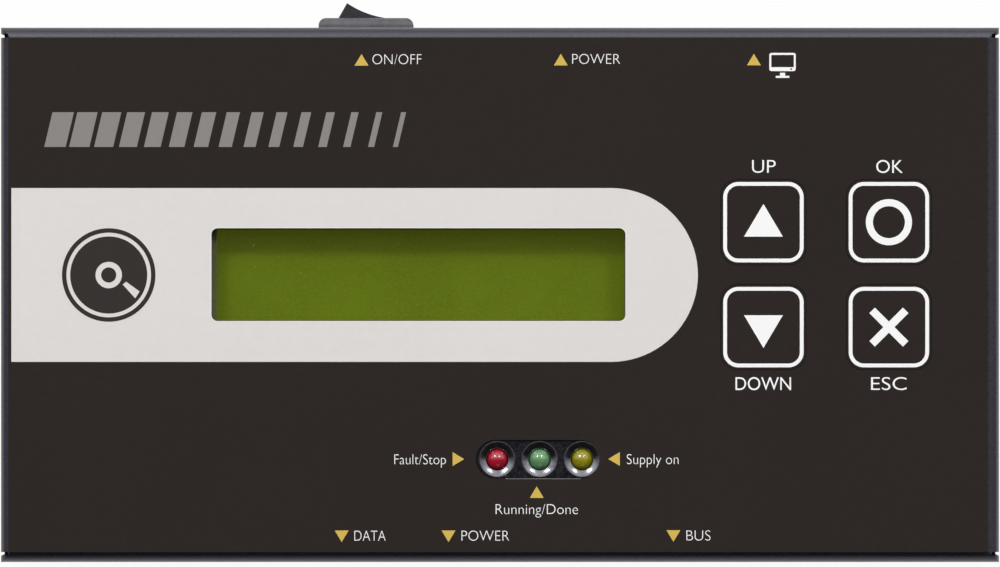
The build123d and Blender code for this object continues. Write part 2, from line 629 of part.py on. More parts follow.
# Status lamps: a bezel with three polished cups, and a domed lamp in each
LAMP_TOP = OVERLAY_TOP - LAMP_BELOW_TOP
LAMP_FLANGE_TOP = COVER_UNDER - LAMP_FIT
LED_TOP = OVERLAY_TOP - LED_BELOW_TOP
LED_SEAT = LED_TOP - LED_HEIGHT
with BuildPart() as led_bezel:
    with BuildSketch(Plane.XY.offset(LAMP_FLANGE_TOP)):
        with Locations(LAMP):
            Rectangle(LAMP_WIDTH + 2 * LAMP_FLANGE_REACH, LAMP_DEPTH + 2 * LAMP_FLANGE_REACH)
    extrude(amount=-LAMP_FLANGE)
    with BuildSketch(Plane.XY.offset(LAMP_FLANGE_TOP)):
        with Locations(LAMP):
            SlotOverall(LAMP_WIDTH - 2 * LAMP_FIT, LAMP_DEPTH - 2 * LAMP_FIT)
    extrude(amount=LAMP_TOP - LAMP_FLANGE_TOP)
    with BuildSketch(Plane.XY.offset(LAMP_FLANGE_TOP - LAMP_FLANGE)):
        with Locations(*LEDS.values()):
            RegularPolygon(LED_RADIUS + CUP_FIT, ROUND_SIDES)
    extrude(amount=LAMP_TOP - LAMP_FLANGE_TOP + LAMP_FLANGE, mode=Mode.SUBTRACT)
    with Locations(*[(x, y, LAMP_TOP) for x, y in LEDS.values()]):
        Cone(
            LED_RADIUS + CUP_FIT,
            CUP_RADIUS,
            CUP_DEPTH,
            align=(Align.CENTER, Align.CENTER, Align.MAX),
            mode=Mode.SUBTRACT,
        )
save(led_bezel, "led_bezel")

DOME_ANGLES = [radians(90 * step / DOME_STEPS) for step in range(DOME_STEPS + 1)]
DOME = [(LED_RADIUS * cos(angle), LED_TOP - LED_RADIUS + LED_RADIUS * sin(angle)) for angle in DOME_ANGLES]
for colour, (x, y) in LEDS.items():
    with BuildPart() as led:
        with BuildSketch(Plane.XZ.offset(-y)):
            with BuildLine():
                dome = Polyline(*[(x + across, height) for across, height in DOME])
                Polyline(dome @ 1, (x, LED_SEAT), (x + LED_RADIUS, LED_SEAT), dome @ 0)
            make_face()
        revolve(axis=Axis((x, y, 0), (0, 0, 1)))
        with BuildSketch(Plane.XY.offset(LED_SEAT)):
            with Locations((x, y)):
                RegularPolygon(LED_FLANGE_RADIUS, HIDDEN_SIDES)
        extrude(amount=LED_FLANGE)
    save(led, f"led_{colour}")

LEAD_PLACES = [(x + side * LEAD_SPACING / 2, y) for x, y in LEDS.values() for side in (-1, 1)]
with BuildPart() as led_leads:
    with BuildSketch(Plane.XY.offset(LED_SEAT)):
        with Locations(*LEAD_PLACES):
            Rectangle(LEAD_SIDE, LEAD_SIDE)
    extrude(amount=PANEL_UNDER - BOARD / 2 - LED_SEAT)
save(led_leads, "led_leads")

# Display module: bezel over glass and light guide, on its own board
BEZEL_TOP = LCD_TOP + BEZEL_HEIGHT
GLASS_TOP = BEZEL_TOP - BEZEL_SHEET
GLASS_BOTTOM = GLASS_TOP - GLASS_THICKNESS
INNER_WIDTH = BEZEL_WIDTH - 2 * BEZEL_SHEET - 2 * GLASS_FIT
INNER_DEPTH = BEZEL_DEPTH - 2 * BEZEL_SHEET - 2 * GLASS_FIT
LCD_HEADER = (
    LCD[0] - LCD_WIDTH / 2 + LCD_PIN_START + (LCD_PINS - 1) * PIN_SPACING / 2,
    LCD[1] + LCD_HOLE_Y / 2,
)
with BuildPart() as lcd_bezel:
    with BuildSketch(Plane.XY.offset(LCD_TOP)):
        with Locations(LCD):
            Rectangle(BEZEL_WIDTH, BEZEL_DEPTH)
    extrude(amount=BEZEL_HEIGHT)
    offset(amount=-BEZEL_SHEET, openings=lcd_bezel.faces().sort_by(Axis.Z)[0])
    with BuildSketch(Plane.XY.offset(GLASS_TOP)):
        with Locations(LCD):
            Rectangle(VIEW_WIDTH, VIEW_DEPTH)
    extrude(amount=BEZEL_SHEET, mode=Mode.SUBTRACT)
save(lcd_bezel, "lcd_bezel")

with BuildPart() as lcd_glass:
    with BuildSketch(Plane.XY.offset(GLASS_BOTTOM)):
        with Locations(LCD):
            Rectangle(INNER_WIDTH, INNER_DEPTH)
    extrude(amount=GLASS_THICKNESS)
save(lcd_glass, "lcd_glass")

with BuildPart() as lcd_backlight:
    with BuildSketch(Plane.XY.offset(LCD_TOP)):
        with Locations(LCD):
            Rectangle(INNER_WIDTH, INNER_DEPTH)
    extrude(amount=GLASS_BOTTOM - LCD_TOP)
save(lcd_backlight, "lcd_backlight")

with BuildPart() as lcd_board:
    with BuildSketch(Plane.XY.offset(LCD_UNDER)):
        with Locations(LCD):
            Rectangle(LCD_WIDTH, LCD_DEPTH)
            with GridLocations(LCD_HOLE_X, LCD_HOLE_Y, 2, 2):
                RegularPolygon(BOARD_SCREW_RADIUS + BOARD_HOLE_FIT, HIDDEN_SIDES, mode=Mode.SUBTRACT)
    extrude(amount=BOARD)
save(lcd_board, "lcd_board")

with BuildPart() as lcd_pins:
    with BuildSketch(Plane.XY.offset(LCD_UNDER)):
        with Locations(LCD_HEADER):
            Rectangle(LCD_PINS * PIN_SPACING, PIN_STRIP)
    extrude(amount=-PIN_STRIP)
    with BuildSketch(Plane.XY.offset(LCD_UNDER - PIN_STRIP)):
        with Locations(LCD_HEADER):
            with GridLocations(PIN_SPACING, PIN_SPACING, LCD_PINS, 1):
                Rectangle(PIN_SIDE, PIN_SIDE)
    extrude(amount=-(PIN_LENGTH - PIN_STRIP))
save(lcd_pins, "lcd_pins")

SOCKET_STRIP = LCD_UNDER - PIN_STRIP - STRIP_GAP - MAIN_TOP
PIN_ENTRY = PIN_LENGTH - PIN_STRIP - STRIP_GAP + PIN_SPARE
with BuildPart() as lcd_socket:
    with BuildSketch(Plane.XY.offset(MAIN_TOP)):
        with Locations(LCD_HEADER):
            Rectangle(LCD_PINS * PIN_SPACING, PIN_STRIP)
    extrude(amount=SOCKET_STRIP)
    with BuildSketch(Plane.XY.offset(MAIN_TOP + SOCKET_STRIP)):
        with Locations(LCD_HEADER):
            with GridLocations(PIN_SPACING, PIN_SPACING, LCD_PINS, 1):
                Rectangle(PIN_SIDE + 2 * STEM_FIT, PIN_SIDE + 2 * STEM_FIT)
    extrude(amount=-PIN_ENTRY, mode=Mode.SUBTRACT)
save(lcd_socket, "lcd_socket")

# Standoffs and board screws. The display and the key board hang under the cover, and the main board
# stands on the base.
LCD_POSTS = [
    (LCD[0] + side * LCD_HOLE_X / 2, LCD[1] + row * LCD_HOLE_Y / 2) for side in (-1, 1) for row in (-1, 1)
]
PANEL_POSTS = [
    (PANEL_LEFT + PANEL_HOLE_INSET, PANEL_REAR - PANEL_HOLE_INSET),
    (PANEL_RIGHT - PANEL_HOLE_INSET, PANEL_REAR - PANEL_HOLE_INSET),
    (PANEL_RIGHT - PANEL_HOLE_INSET, PANEL_FRONT + PANEL_HOLE_INSET),
    (PANEL_ARM_LEFT + PANEL_HOLE_INSET, PANEL_FRONT + PANEL_HOLE_INSET),
]
MAIN_WIDTH = CASE_WIDTH - 2 * MAIN_MARGIN_X
MAIN_DEPTH = CASE_DEPTH - 2 * MAIN_MARGIN_Y
MAIN_POSTS = [
    (side * (MAIN_WIDTH / 2 - MAIN_HOLE_INSET), CASE_Y + row * (MAIN_DEPTH / 2 - MAIN_HOLE_INSET))
    for side in (-1, 1)
    for row in (-1, 1)
]
for name, places, seat, height in (
    ("lcd_standoffs", LCD_POSTS, COVER_UNDER, LCD_TOP - COVER_UNDER),
    ("panel_standoffs", PANEL_POSTS, COVER_UNDER, PANEL_TOP - COVER_UNDER),
    ("main_standoffs", MAIN_POSTS, BASE_TOP, MAIN_STANDOFF),
):
    with BuildPart() as standoffs:
        with BuildSketch(Plane.XY.offset(seat)):
            with Locations(*places):
                RegularPolygon(STANDOFF_RADIUS, 6)
                RegularPolygon(BOARD_SCREW_RADIUS + THREAD_FIT, HIDDEN_SIDES, mode=Mode.SUBTRACT)
        extrude(amount=height)
    save(standoffs, name)

with BuildPart() as board_screws:
    for places, seat, way in ((LCD_POSTS, LCD_UNDER, 1), (PANEL_POSTS, PANEL_UNDER, 1), (MAIN_POSTS, MAIN_TOP, -1)):
        with BuildSketch(Plane.XY.offset(seat)):
            with Locations(*places):
                RegularPolygon(BOARD_SCREW_HEAD_RADIUS, HIDDEN_SIDES)
        extrude(amount=-way * BOARD_SCREW_HEAD)
        with BuildSketch(Plane.XY.offset(seat)):
            with Locations(*places):
                RegularPolygon(BOARD_SCREW_RADIUS, HIDDEN_SIDES)
        extrude(amount=way * BOARD_SCREW_LENGTH)
save(board_screws, "board_screws")

# Key board: an L that carries the push switches in its upright and the lamps in its foot
with BuildPart() as panel_board:
    with BuildSketch(Plane.XY.offset(PANEL_UNDER)):
        with BuildLine():
            Polyline(
                (PANEL_LEFT, PANEL_REAR),
                (PANEL_RIGHT, PANEL_REAR),
                (PANEL_RIGHT, PANEL_FRONT),
                (PANEL_ARM_LEFT, PANEL_FRONT),
                (PANEL_ARM_LEFT, PANEL_ARM_REAR),
                (PANEL_LEFT, PANEL_ARM_REAR),
                close=True,
            )
        make_face()
        with Locations(*PANEL_POSTS):
            RegularPolygon(BOARD_SCREW_RADIUS + BOARD_HOLE_FIT, HIDDEN_SIDES, mode=Mode.SUBTRACT)
        with Locations(*LEAD_PLACES):
            Rectangle(LEAD_SIDE + LEAD_SIDE, LEAD_SIDE + LEAD_SIDE, mode=Mode.SUBTRACT)
    extrude(amount=BOARD)
save(panel_board, "panel_board")

with BuildPart() as main_board:
    with BuildSketch(Plane.XY.offset(MAIN_UNDER)):
        with Locations((0, CASE_Y)):
            Rectangle(MAIN_WIDTH, MAIN_DEPTH)
        with Locations(*MAIN_POSTS):
            RegularPolygon(BOARD_SCREW_RADIUS + BOARD_HOLE_FIT, HIDDEN_SIDES, mode=Mode.SUBTRACT)
    extrude(amount=BOARD)
save(main_board, "main_board")

with BuildPart() as controller_chip:
    with BuildSketch(Plane.XY.offset(MAIN_TOP)):
        with Locations((CHIP_X, CASE_Y + CHIP_Y)):
            Rectangle(CHIP_SIDE, CHIP_SIDE)
    extrude(amount=CHIP_HEIGHT)
    chamfer(controller_chip.faces().sort_by(Axis.Z)[-1].edges(), CHIP_BEVEL)
save(controller_chip, "controller_chip")

with BuildPart() as memory_chips:
    with BuildSketch(Plane.XY.offset(MAIN_TOP)):
        with Locations((MEMORY_X, CASE_Y + MEMORY_Y)):
            with GridLocations(MEMORY_SPACING, MEMORY_SPACING, 1, 2):
                Rectangle(MEMORY_LENGTH, MEMORY_WIDTH)
    extrude(amount=MEMORY_HEIGHT)
save(memory_chips, "memory_chips")

with BuildPart() as capacitors:
    with BuildSketch(Plane.XY.offset(MAIN_TOP)):
        with Locations((CASE_WIDTH / 2 - CAN_FROM_RIGHT, REAR - CAN_FROM_REAR)):
            with GridLocations(CAN_SPACING, CAN_SPACING, 2, 2):
                RegularPolygon(CAN_RADIUS, ROUND_SIDES)
    extrude(amount=CAN_HEIGHT)
    chamfer(capacitors.edges().group_by(Axis.Z)[-1], CAN_CHAMFER)
save(capacitors, "capacitors")

with BuildPart() as power_coil:
    with BuildSketch(Plane.XY.offset(MAIN_TOP)) as coil_outline:
        with Locations((COIL_X, CASE_Y + COIL_Y)):
            Rectangle(COIL_SIDE, COIL_SIDE)
        chamfer(coil_outline.vertices(), COIL_BEVEL)
    extrude(amount=COIL_HEIGHT)
save(power_coil, "power_coil")

# Drive data socket: a keyed tongue in an open shroud
with BuildPart() as data_socket:
    with BuildSketch(front_depth(DATA_LENGTH)):
        with Locations((DATA_X, DATA_Z)):
            Rectangle(DATA_WIDTH, DATA_HEIGHT)
    extrude(amount=DATA_LENGTH)
    with BuildSketch(front_depth(DATA_CAVITY_DEPTH)):
        with Locations((DATA_X, DATA_Z)):
            Rectangle(DATA_CAVITY_WIDTH, DATA_CAVITY_HEIGHT)
    extrude(amount=DATA_CAVITY_DEPTH, mode=Mode.SUBTRACT)
    with BuildSketch(front_depth(DATA_CAVITY_DEPTH)):
        with Locations((DATA_X, DATA_Z)):
            Rectangle(DATA_TONGUE_WIDTH, DATA_TONGUE)
        with Locations((DATA_X - DATA_TONGUE_WIDTH / 2 + DATA_TONGUE / 2, DATA_Z - DATA_KEY / 2)):
            Rectangle(DATA_TONGUE, DATA_KEY)
    extrude(amount=DATA_TONGUE_LENGTH)
save(data_socket, "data_socket")

with BuildPart() as data_contacts:
    with BuildSketch(front_depth(DATA_CAVITY_DEPTH)):
        with Locations((DATA_X + DATA_TONGUE / 2, DATA_Z + DATA_TONGUE / 2 + CONTACT / 2)):
            with GridLocations(DATA_SPACING, DATA_SPACING, DATA_CONTACTS, 1):
                Rectangle(CONTACT_WIDTH, CONTACT)
    extrude(amount=DATA_TONGUE_LENGTH - CONTACT_WIDTH)
save(data_contacts, "data_contacts")

# Drive power header: four keyed pockets with a pin in each, and a latch ramp on top
FEED_GRID = [
    (FEED_X + side * FEED_SPACING / 2, FEED_Z + row * FEED_SPACING / 2) for side in (-1, 1) for row in (-1, 1)
]
with BuildPart() as drive_power_header:
    with BuildSketch(front_depth(FEED_LENGTH)):
        with Locations((FEED_X, FEED_Z)):
            Rectangle(FEED_SIDE, FEED_SIDE)
    extrude(amount=FEED_LENGTH)
    with BuildSketch(front_depth(FEED_DEPTH)) as pockets:
        with Locations(*FEED_GRID):
            Rectangle(FEED_POCKET, FEED_POCKET)
        chamfer(pockets.vertices().group_by(Axis.Z)[-1], FEED_BEVEL)
    extrude(amount=FEED_DEPTH, mode=Mode.SUBTRACT)
    with BuildSketch(Plane.YZ.offset(FEED_X - LATCH_WIDTH / 2)):
        with BuildLine():
            Polyline(
                (FRONT_MOUTH + LATCH_SETBACK, FEED_Z + FEED_SIDE / 2),
                (FRONT_MOUTH + LATCH_SETBACK + LATCH_LENGTH, FEED_Z + FEED_SIDE / 2 + LATCH_HEIGHT),
                (FRONT_MOUTH + LATCH_SETBACK + LATCH_LENGTH, FEED_Z + FEED_SIDE / 2),
                close=True,
            )
        make_face()
    extrude(amount=LATCH_WIDTH)
save(drive_power_header, "drive_power_header")

with BuildPart() as drive_power_pins:
    with BuildSketch(front_depth(FEED_DEPTH)):
        with Locations(*FEED_GRID):
            Rectangle(FEED_PIN_SIDE, FEED_PIN_SIDE)
    extrude(amount=FEED_PIN_LENGTH)
save(drive_power_pins, "drive_power_pins")

# Wide ribbon header: an open shroud with a polarising notch, and two rows of pins with one left out
RIBBON_FLOOR = front_depth(RIBBON_CAVITY_DEPTH)
with BuildPart() as ribbon_header:
    with BuildSketch(front_depth(RIBBON_LENGTH)):
        with Locations((RIBBON_X, RIBBON_Z)):
            Rectangle(RIBBON_WIDTH, RIBBON_HEIGHT)
    extrude(amount=RIBBON_LENGTH)
    with BuildSketch(RIBBON_FLOOR):
        with Locations((RIBBON_X, RIBBON_Z)):
            Rectangle(RIBBON_CAVITY_WIDTH, RIBBON_CAVITY_HEIGHT)
        with Locations((RIBBON_X, RIBBON_Z + RIBBON_HEIGHT / 2)):
            Rectangle(RIBBON_NOTCH, RIBBON_HEIGHT - RIBBON_CAVITY_HEIGHT)
    extrude(amount=RIBBON_CAVITY_DEPTH, mode=Mode.SUBTRACT)
save(ribbon_header, "ribbon_header")

RIBBON_LEFT_PIN = RIBBON_X - (RIBBON_COLUMNS - 1) * PIN_SPACING / 2
RIBBON_PLACES = [
    (RIBBON_LEFT_PIN + column * PIN_SPACING, RIBBON_Z + row * PIN_SPACING / 2)
    for column in range(RIBBON_COLUMNS)
    for row in (-1, 1)
    if (column, row) != (RIBBON_MISSING_COLUMN, 1)
]
with BuildPart() as ribbon_pins:
    with BuildSketch(RIBBON_FLOOR):
        with Locations(*RIBBON_PLACES):
            Rectangle(PIN_SIDE, PIN_SIDE)
    extrude(amount=RIBBON_PIN_LENGTH)
save(ribbon_pins, "ribbon_pins")

# Square data socket: a steel shell round a moulded body whose mouth has two bevelled corners
with BuildPart() as host_shell:
    with BuildSketch(REAR_MOUTH_FACE):
        with Locations((HOST_X, HOST_Z)):
            Rectangle(HOST_WIDTH, HOST_HEIGHT)
            Rectangle(HOST_WIDTH - 2 * HOST_SHELL, HOST_HEIGHT - 2 * HOST_SHELL, mode=Mode.SUBTRACT)
    extrude(amount=HOST_LENGTH)
save(host_shell, "host_shell")

with BuildPart() as host_body:
    with BuildSketch(REAR_MOUTH_FACE):
        with Locations((HOST_X, HOST_Z)):
            Rectangle(HOST_WIDTH - 2 * HOST_SHELL, HOST_HEIGHT - 2 * HOST_SHELL)
    extrude(amount=HOST_LENGTH)
    with BuildSketch(REAR_MOUTH_FACE) as mouth:
        with Locations((HOST_X, HOST_Z)):
            Rectangle(HOST_MOUTH_WIDTH, HOST_MOUTH_HEIGHT)
        chamfer(mouth.vertices().group_by(Axis.Z)[-1], HOST_MOUTH_BEVEL)
    extrude(amount=HOST_MOUTH_DEPTH, mode=Mode.SUBTRACT)
    with BuildSketch(rear_depth(HOST_MOUTH_DEPTH)):
        with Locations((HOST_X, HOST_Z)):
            Rectangle(HOST_TONGUE_WIDTH, HOST_TONGUE_HEIGHT)
    extrude(amount=-HOST_TONGUE_LENGTH)
save(host_body, "host_body")

with BuildPart() as host_contacts:
    with BuildSketch(rear_depth(HOST_MOUTH_DEPTH)):
        with Locations((HOST_X, HOST_Z)):
            with GridLocations(HOST_CONTACT_SPACING, HOST_TONGUE_HEIGHT + CONTACT, 2, 2):
                Rectangle(HOST_CONTACT_WIDTH, CONTACT)
    extrude(amount=-HOST_CONTACT_LENGTH)
save(host_contacts, "host_contacts")

# Power jack: a moulded block with a round bore, and the centre pin that the plug slides on
with BuildPart() as jack_body:
    with BuildSketch(REAR_MOUTH_FACE):
        with Locations((JACK_X, JACK_MIDDLE)):
            Rectangle(JACK_WIDTH, JACK_HEIGHT)
    extrude(amount=JACK_LENGTH)
    with BuildSketch(REAR_MOUTH_FACE):
        with Locations((JACK_X, JACK_Z)):
            Circle(JACK_BORE_RADIUS)
    extrude(amount=JACK_BORE_DEPTH, mode=Mode.SUBTRACT)
save(jack_body, "jack_body")

with BuildPart() as jack_pin:
    with BuildSketch(rear_depth(JACK_BORE_DEPTH)):
        with Locations((JACK_X, JACK_Z)):
            Circle(JACK_PIN_RADIUS)
    extrude(amount=-JACK_PIN_LENGTH)
save(jack_pin, "jack_pin")

# Rocker switch. Its own sketches lie flat, with local x along the rear wall and local y outwards
# from the pivot.
PIVOT = (SWITCH_X, REAR - PIVOT_DEPTH)
with BuildPart() as switch_housing:
    with BuildSketch(REAR_FACE):
        with Locations((SWITCH_X, SWITCH_Z)):
            Rectangle(SWITCH_FLANGE_WIDTH, SWITCH_FLANGE_HEIGHT)
    extrude(amount=-SWITCH_FLANGE)
    fillet(switch_housing.faces().sort_by(Axis.Y)[-1].edges(), SWITCH_FLANGE_ROUND)
    with BuildSketch(REAR_FACE):
        with Locations((SWITCH_X, SWITCH_Z)):
            Rectangle(SWITCH_BODY_WIDTH, SWITCH_BODY_HEIGHT)
    extrude(amount=SWITCH_BODY_DEPTH)
    with BuildSketch(Plane.XZ.offset(-(REAR - SWITCH_BODY_DEPTH + SWITCH_FLOOR))):
        with Locations((SWITCH_X, SWITCH_Z)):
            Rectangle(OPENING_LENGTH, OPENING_HEIGHT)
    extrude(amount=-(SWITCH_BODY_DEPTH - SWITCH_FLOOR + SWITCH_FLANGE), mode=Mode.SUBTRACT)
    for side in (-1, 1):
        with BuildSketch(Plane.XY.offset(SWITCH_Z - CLIP_WIDTH / 2)):
            with BuildLine():
                Polyline(
                    (SWITCH_X + side * SWITCH_BODY_WIDTH / 2, REAR - SHEET - CLIP_FIT),
                    (SWITCH_X + side * (SWITCH_BODY_WIDTH / 2 + CLIP_REACH), REAR - SHEET - CLIP_FIT),
                    (SWITCH_X + side * SWITCH_BODY_WIDTH / 2, REAR - SHEET - CLIP_FIT - CLIP_LENGTH),
                    close=True,
                )
            make_face()
        extrude(amount=CLIP_WIDTH)
    with Locations((*PIVOT, SWITCH_Z)):
        Cylinder(PIVOT_RADIUS + PIVOT_FIT, SWITCH_BODY_HEIGHT, mode=Mode.SUBTRACT)
    with BuildSketch(Plane.XZ.offset(-(REAR - SWITCH_BODY_DEPTH + SWITCH_FLOOR))):
        with Locations((SWITCH_X, SWITCH_Z), (SWITCH_X + TERMINAL_OFFSET, SWITCH_Z)):
            Rectangle(TERMINAL_SHEET + 2 * CRADLE_FIT, TERMINAL_WIDTH + 2 * CRADLE_FIT)
    extrude(amount=SWITCH_FLOOR, mode=Mode.SUBTRACT)
save(switch_housing, "switch_housing")

# Rocker, tipped to the side that stands out at rest: a dished top, tapered ends, and lower ends
# that are round about the pivot so that they pass the bezel at any tilt.
ROCKER_DIRECTION = (cos(radians(-ROCKER_TILT)), sin(radians(-ROCKER_TILT)), 0)


def on_rocker(height):
    """Flat plane through the pivot at this height, turned with the rocker."""
    return Plane(origin=(*PIVOT, height), x_dir=ROCKER_DIRECTION, z_dir=(0, 0, 1))


END_TOP = Vector(ROCKER_END_RADIUS, 0).rotate(Axis.Z, ROCKER_END_TOP)
END_BOTTOM = Vector(ROCKER_END_RADIUS, 0).rotate(Axis.Z, ROCKER_END_BOTTOM)
with BuildPart() as rocker:
    with BuildSketch(on_rocker(SWITCH_Z - ROCKER_WIDTH / 2)):
        with BuildLine():
            ThreePointArc(
                (-ROCKER_TIP, ROCKER_RISE), (0, ROCKER_RISE - ROCKER_DISH), (ROCKER_TIP, ROCKER_RISE)
            )
            Line((ROCKER_TIP, ROCKER_RISE), (END_TOP.X, END_TOP.Y))
            ThreePointArc((END_TOP.X, END_TOP.Y), (ROCKER_END_RADIUS, 0), (END_BOTTOM.X, END_BOTTOM.Y))
            Line((END_BOTTOM.X, END_BOTTOM.Y), (-END_BOTTOM.X, END_BOTTOM.Y))
            ThreePointArc((-END_BOTTOM.X, END_BOTTOM.Y), (-ROCKER_END_RADIUS, 0), (-END_TOP.X, END_TOP.Y))
            Line((-END_TOP.X, END_TOP.Y), (-ROCKER_TIP, ROCKER_RISE))
        make_face()
    extrude(amount=ROCKER_WIDTH)
    with BuildSketch(on_rocker(SWITCH_Z - ROCKER_WIDTH / 2 - PIVOT_REACH)):
        Circle(PIVOT_RADIUS)
    extrude(amount=ROCKER_WIDTH + 2 * PIVOT_REACH)
save(rocker, "rocker")

with BuildPart() as rocker_plunger:
    with BuildSketch(on_rocker(SWITCH_Z - PLUNGER_RADIUS)):
        with BuildLine():
            Polyline(
                (-PLUNGER_RADIUS, PLUNGER_RADIUS - PLUNGER_REACH),
                (-PLUNGER_RADIUS, END_BOTTOM.Y),
                (PLUNGER_RADIUS, END_BOTTOM.Y),
                (PLUNGER_RADIUS, PLUNGER_RADIUS - PLUNGER_REACH),
            )
            ThreePointArc(
                (PLUNGER_RADIUS, PLUNGER_RADIUS - PLUNGER_REACH),
                (0, -PLUNGER_REACH),
                (-PLUNGER_RADIUS, PLUNGER_RADIUS - PLUNGER_REACH),
            )
        make_face()
    extrude(amount=2 * PLUNGER_RADIUS)
save(rocker_plunger, "rocker_plunger")

# Contact lever: it rocks in the cradle of the middle terminal, opposite to the rocker
LEVER_PIVOT = PLUNGER_REACH + PLUNGER_FIT + LEVER_TRUNNION
LEVER_AXIS = (SWITCH_X, PIVOT[1] - LEVER_PIVOT)
LEVER_DIRECTION = (cos(radians(LEVER_TILT)), sin(radians(LEVER_TILT)), 0)


def on_lever(height):
    """Flat plane through the lever's axis at this height, turned with the lever."""
    return Plane(origin=(*LEVER_AXIS, height), x_dir=LEVER_DIRECTION, z_dir=(0, 0, 1))


with BuildPart() as switch_lever:
    with BuildSketch(on_lever(SWITCH_Z - LEVER_WIDTH / 2)):
        Rectangle(LEVER_LENGTH, LEVER_SHEET)
    extrude(amount=LEVER_WIDTH)
    with BuildSketch(on_lever(SWITCH_Z - LEVER_TRUNNION_LENGTH / 2)):
        Circle(LEVER_TRUNNION)
    extrude(amount=LEVER_TRUNNION_LENGTH)
save(switch_lever, "switch_lever")

# Terminals: the middle one holds the lever's trunnion, the other one is the fixed contact
LEVER_DROP = LEVER_LENGTH / 2 * sin(radians(LEVER_TILT)) + LEVER_SHEET
TERMINAL_END = REAR - SWITCH_BODY_DEPTH - TERMINAL_LENGTH
MIDDLE_TOP = LEVER_AXIS[1] - LEVER_TRUNNION - CRADLE_FIT
FIXED_TOP = LEVER_AXIS[1] - LEVER_DROP - CONTACT_GAP
with BuildPart() as switch_terminals:
    with BuildSketch(Plane.XZ.offset(-TERMINAL_END)):
        with Locations((SWITCH_X, SWITCH_Z)):
            Rectangle(TERMINAL_SHEET, TERMINAL_WIDTH)
    extrude(amount=-(MIDDLE_TOP - TERMINAL_END))
    with BuildSketch(Plane.XZ.offset(-TERMINAL_END)):
        with Locations((SWITCH_X + TERMINAL_OFFSET, SWITCH_Z)):
            Rectangle(TERMINAL_SHEET, TERMINAL_WIDTH)
    extrude(amount=-(FIXED_TOP - TERMINAL_END))
save(switch_terminals, "switch_terminals")

# Switch leads: from each terminal towards the front and down into a header on the main board
HEADER_TOP = MAIN_TOP + WIRE_HEADER_HEIGHT
with BuildPart() as switch_wires:
    for x in (SWITCH_X, SWITCH_X + TERMINAL_OFFSET):
        with BuildLine():
            route = FilletPolyline(
                (x, TERMINAL_END, SWITCH_Z),
                (x, TERMINAL_END - WIRE_RUN, SWITCH_Z),
                (x, TERMINAL_END - WIRE_RUN, HEADER_TOP),
                radius=WIRE_BEND,
            )
        with BuildSketch(Plane(origin=route @ 0, z_dir=route % 0)):
            RegularPolygon(WIRE_RADIUS, WIRE_SIDES)
        sweep(path=route)
save(switch_wires, "switch_wires")

with BuildPart() as switch_header:
    with BuildSketch(Plane.XY.offset(MAIN_TOP)):
        with Locations((SWITCH_X + TERMINAL_OFFSET / 2, TERMINAL_END - WIRE_RUN)):
            Rectangle(WIRE_HEADER_WIDTH, WIRE_HEADER_DEPTH)
    extrude(amount=WIRE_HEADER_HEIGHT)
save(switch_header, "switch_header")

# Flat cable between the two boards, with a socket on each
CABLE_TOP = PANEL_UNDER - CABLE_SOCKET_HEIGHT
CABLE_BOTTOM = MAIN_TOP + CABLE_SOCKET_HEIGHT
CABLE_FOOT_X = CABLE_X - CABLE_RUN
CABLE_Y = FRONT_MOUTH + RIBBON_LENGTH + CABLE_GAP + CABLE_SOCKET_WIDTH / 2
with BuildPart() as flat_cable:
    with BuildSketch(Plane.XZ.offset(-(CABLE_Y + CABLE_WIDTH / 2))):
        with BuildLine():
            FilletPolyline(
                (CABLE_X, CABLE_TOP),
                (CABLE_X, (CABLE_TOP + CABLE_BOTTOM) / 2),
                (CABLE_FOOT_X, (CABLE_TOP + CABLE_BOTTOM) / 2),
                (CABLE_FOOT_X, CABLE_BOTTOM),
                radius=CABLE_BEND,
            )
        trace(line_width=CABLE)
    extrude(amount=CABLE_WIDTH)
save(flat_cable, "flat_cable")

with BuildPart() as cable_sockets:
    with BuildSketch(Plane.XY.offset(PANEL_UNDER)):
        with Locations((CABLE_X, CABLE_Y)):
            Rectangle(CABLE_SOCKET_DEPTH, CABLE_SOCKET_WIDTH)
    extrude(amount=-CABLE_SOCKET_HEIGHT)
    with BuildSketch(Plane.XY.offset(MAIN_TOP)):
        with Locations((CABLE_FOOT_X, CABLE_Y)):
            Rectangle(CABLE_SOCKET_DEPTH, CABLE_SOCKET_WIDTH)
    extrude(amount=CABLE_SOCKET_HEIGHT)
save(cable_sockets, "cable_sockets")
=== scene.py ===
import math

import bmesh
import bpy
from bpy.props import FloatProperty, FloatVectorProperty, PointerProperty
from mathutils import Matrix, Vector


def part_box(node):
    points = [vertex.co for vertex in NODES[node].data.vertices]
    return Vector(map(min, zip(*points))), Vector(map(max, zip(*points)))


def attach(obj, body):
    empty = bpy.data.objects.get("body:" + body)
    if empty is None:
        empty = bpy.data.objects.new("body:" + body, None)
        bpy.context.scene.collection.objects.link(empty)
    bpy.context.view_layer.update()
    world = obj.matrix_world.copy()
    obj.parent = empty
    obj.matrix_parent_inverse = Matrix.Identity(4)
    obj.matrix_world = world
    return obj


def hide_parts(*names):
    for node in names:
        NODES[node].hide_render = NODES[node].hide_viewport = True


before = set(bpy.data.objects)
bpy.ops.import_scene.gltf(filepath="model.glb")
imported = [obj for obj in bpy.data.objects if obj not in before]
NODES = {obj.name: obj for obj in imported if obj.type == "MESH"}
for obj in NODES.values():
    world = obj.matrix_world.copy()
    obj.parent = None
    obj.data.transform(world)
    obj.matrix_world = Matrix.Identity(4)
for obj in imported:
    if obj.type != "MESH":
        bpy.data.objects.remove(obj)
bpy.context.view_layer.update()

bl_info = {
    "name": "Drive erasing station",
    "version": (1, 0, 0),
    "blender": (4, 5, 0),
    "location": "3D View > Sidebar > Station",
    "description": "Finishes, printed film, lamps and stage of a drive erasing station",
    "category": "Object",
}

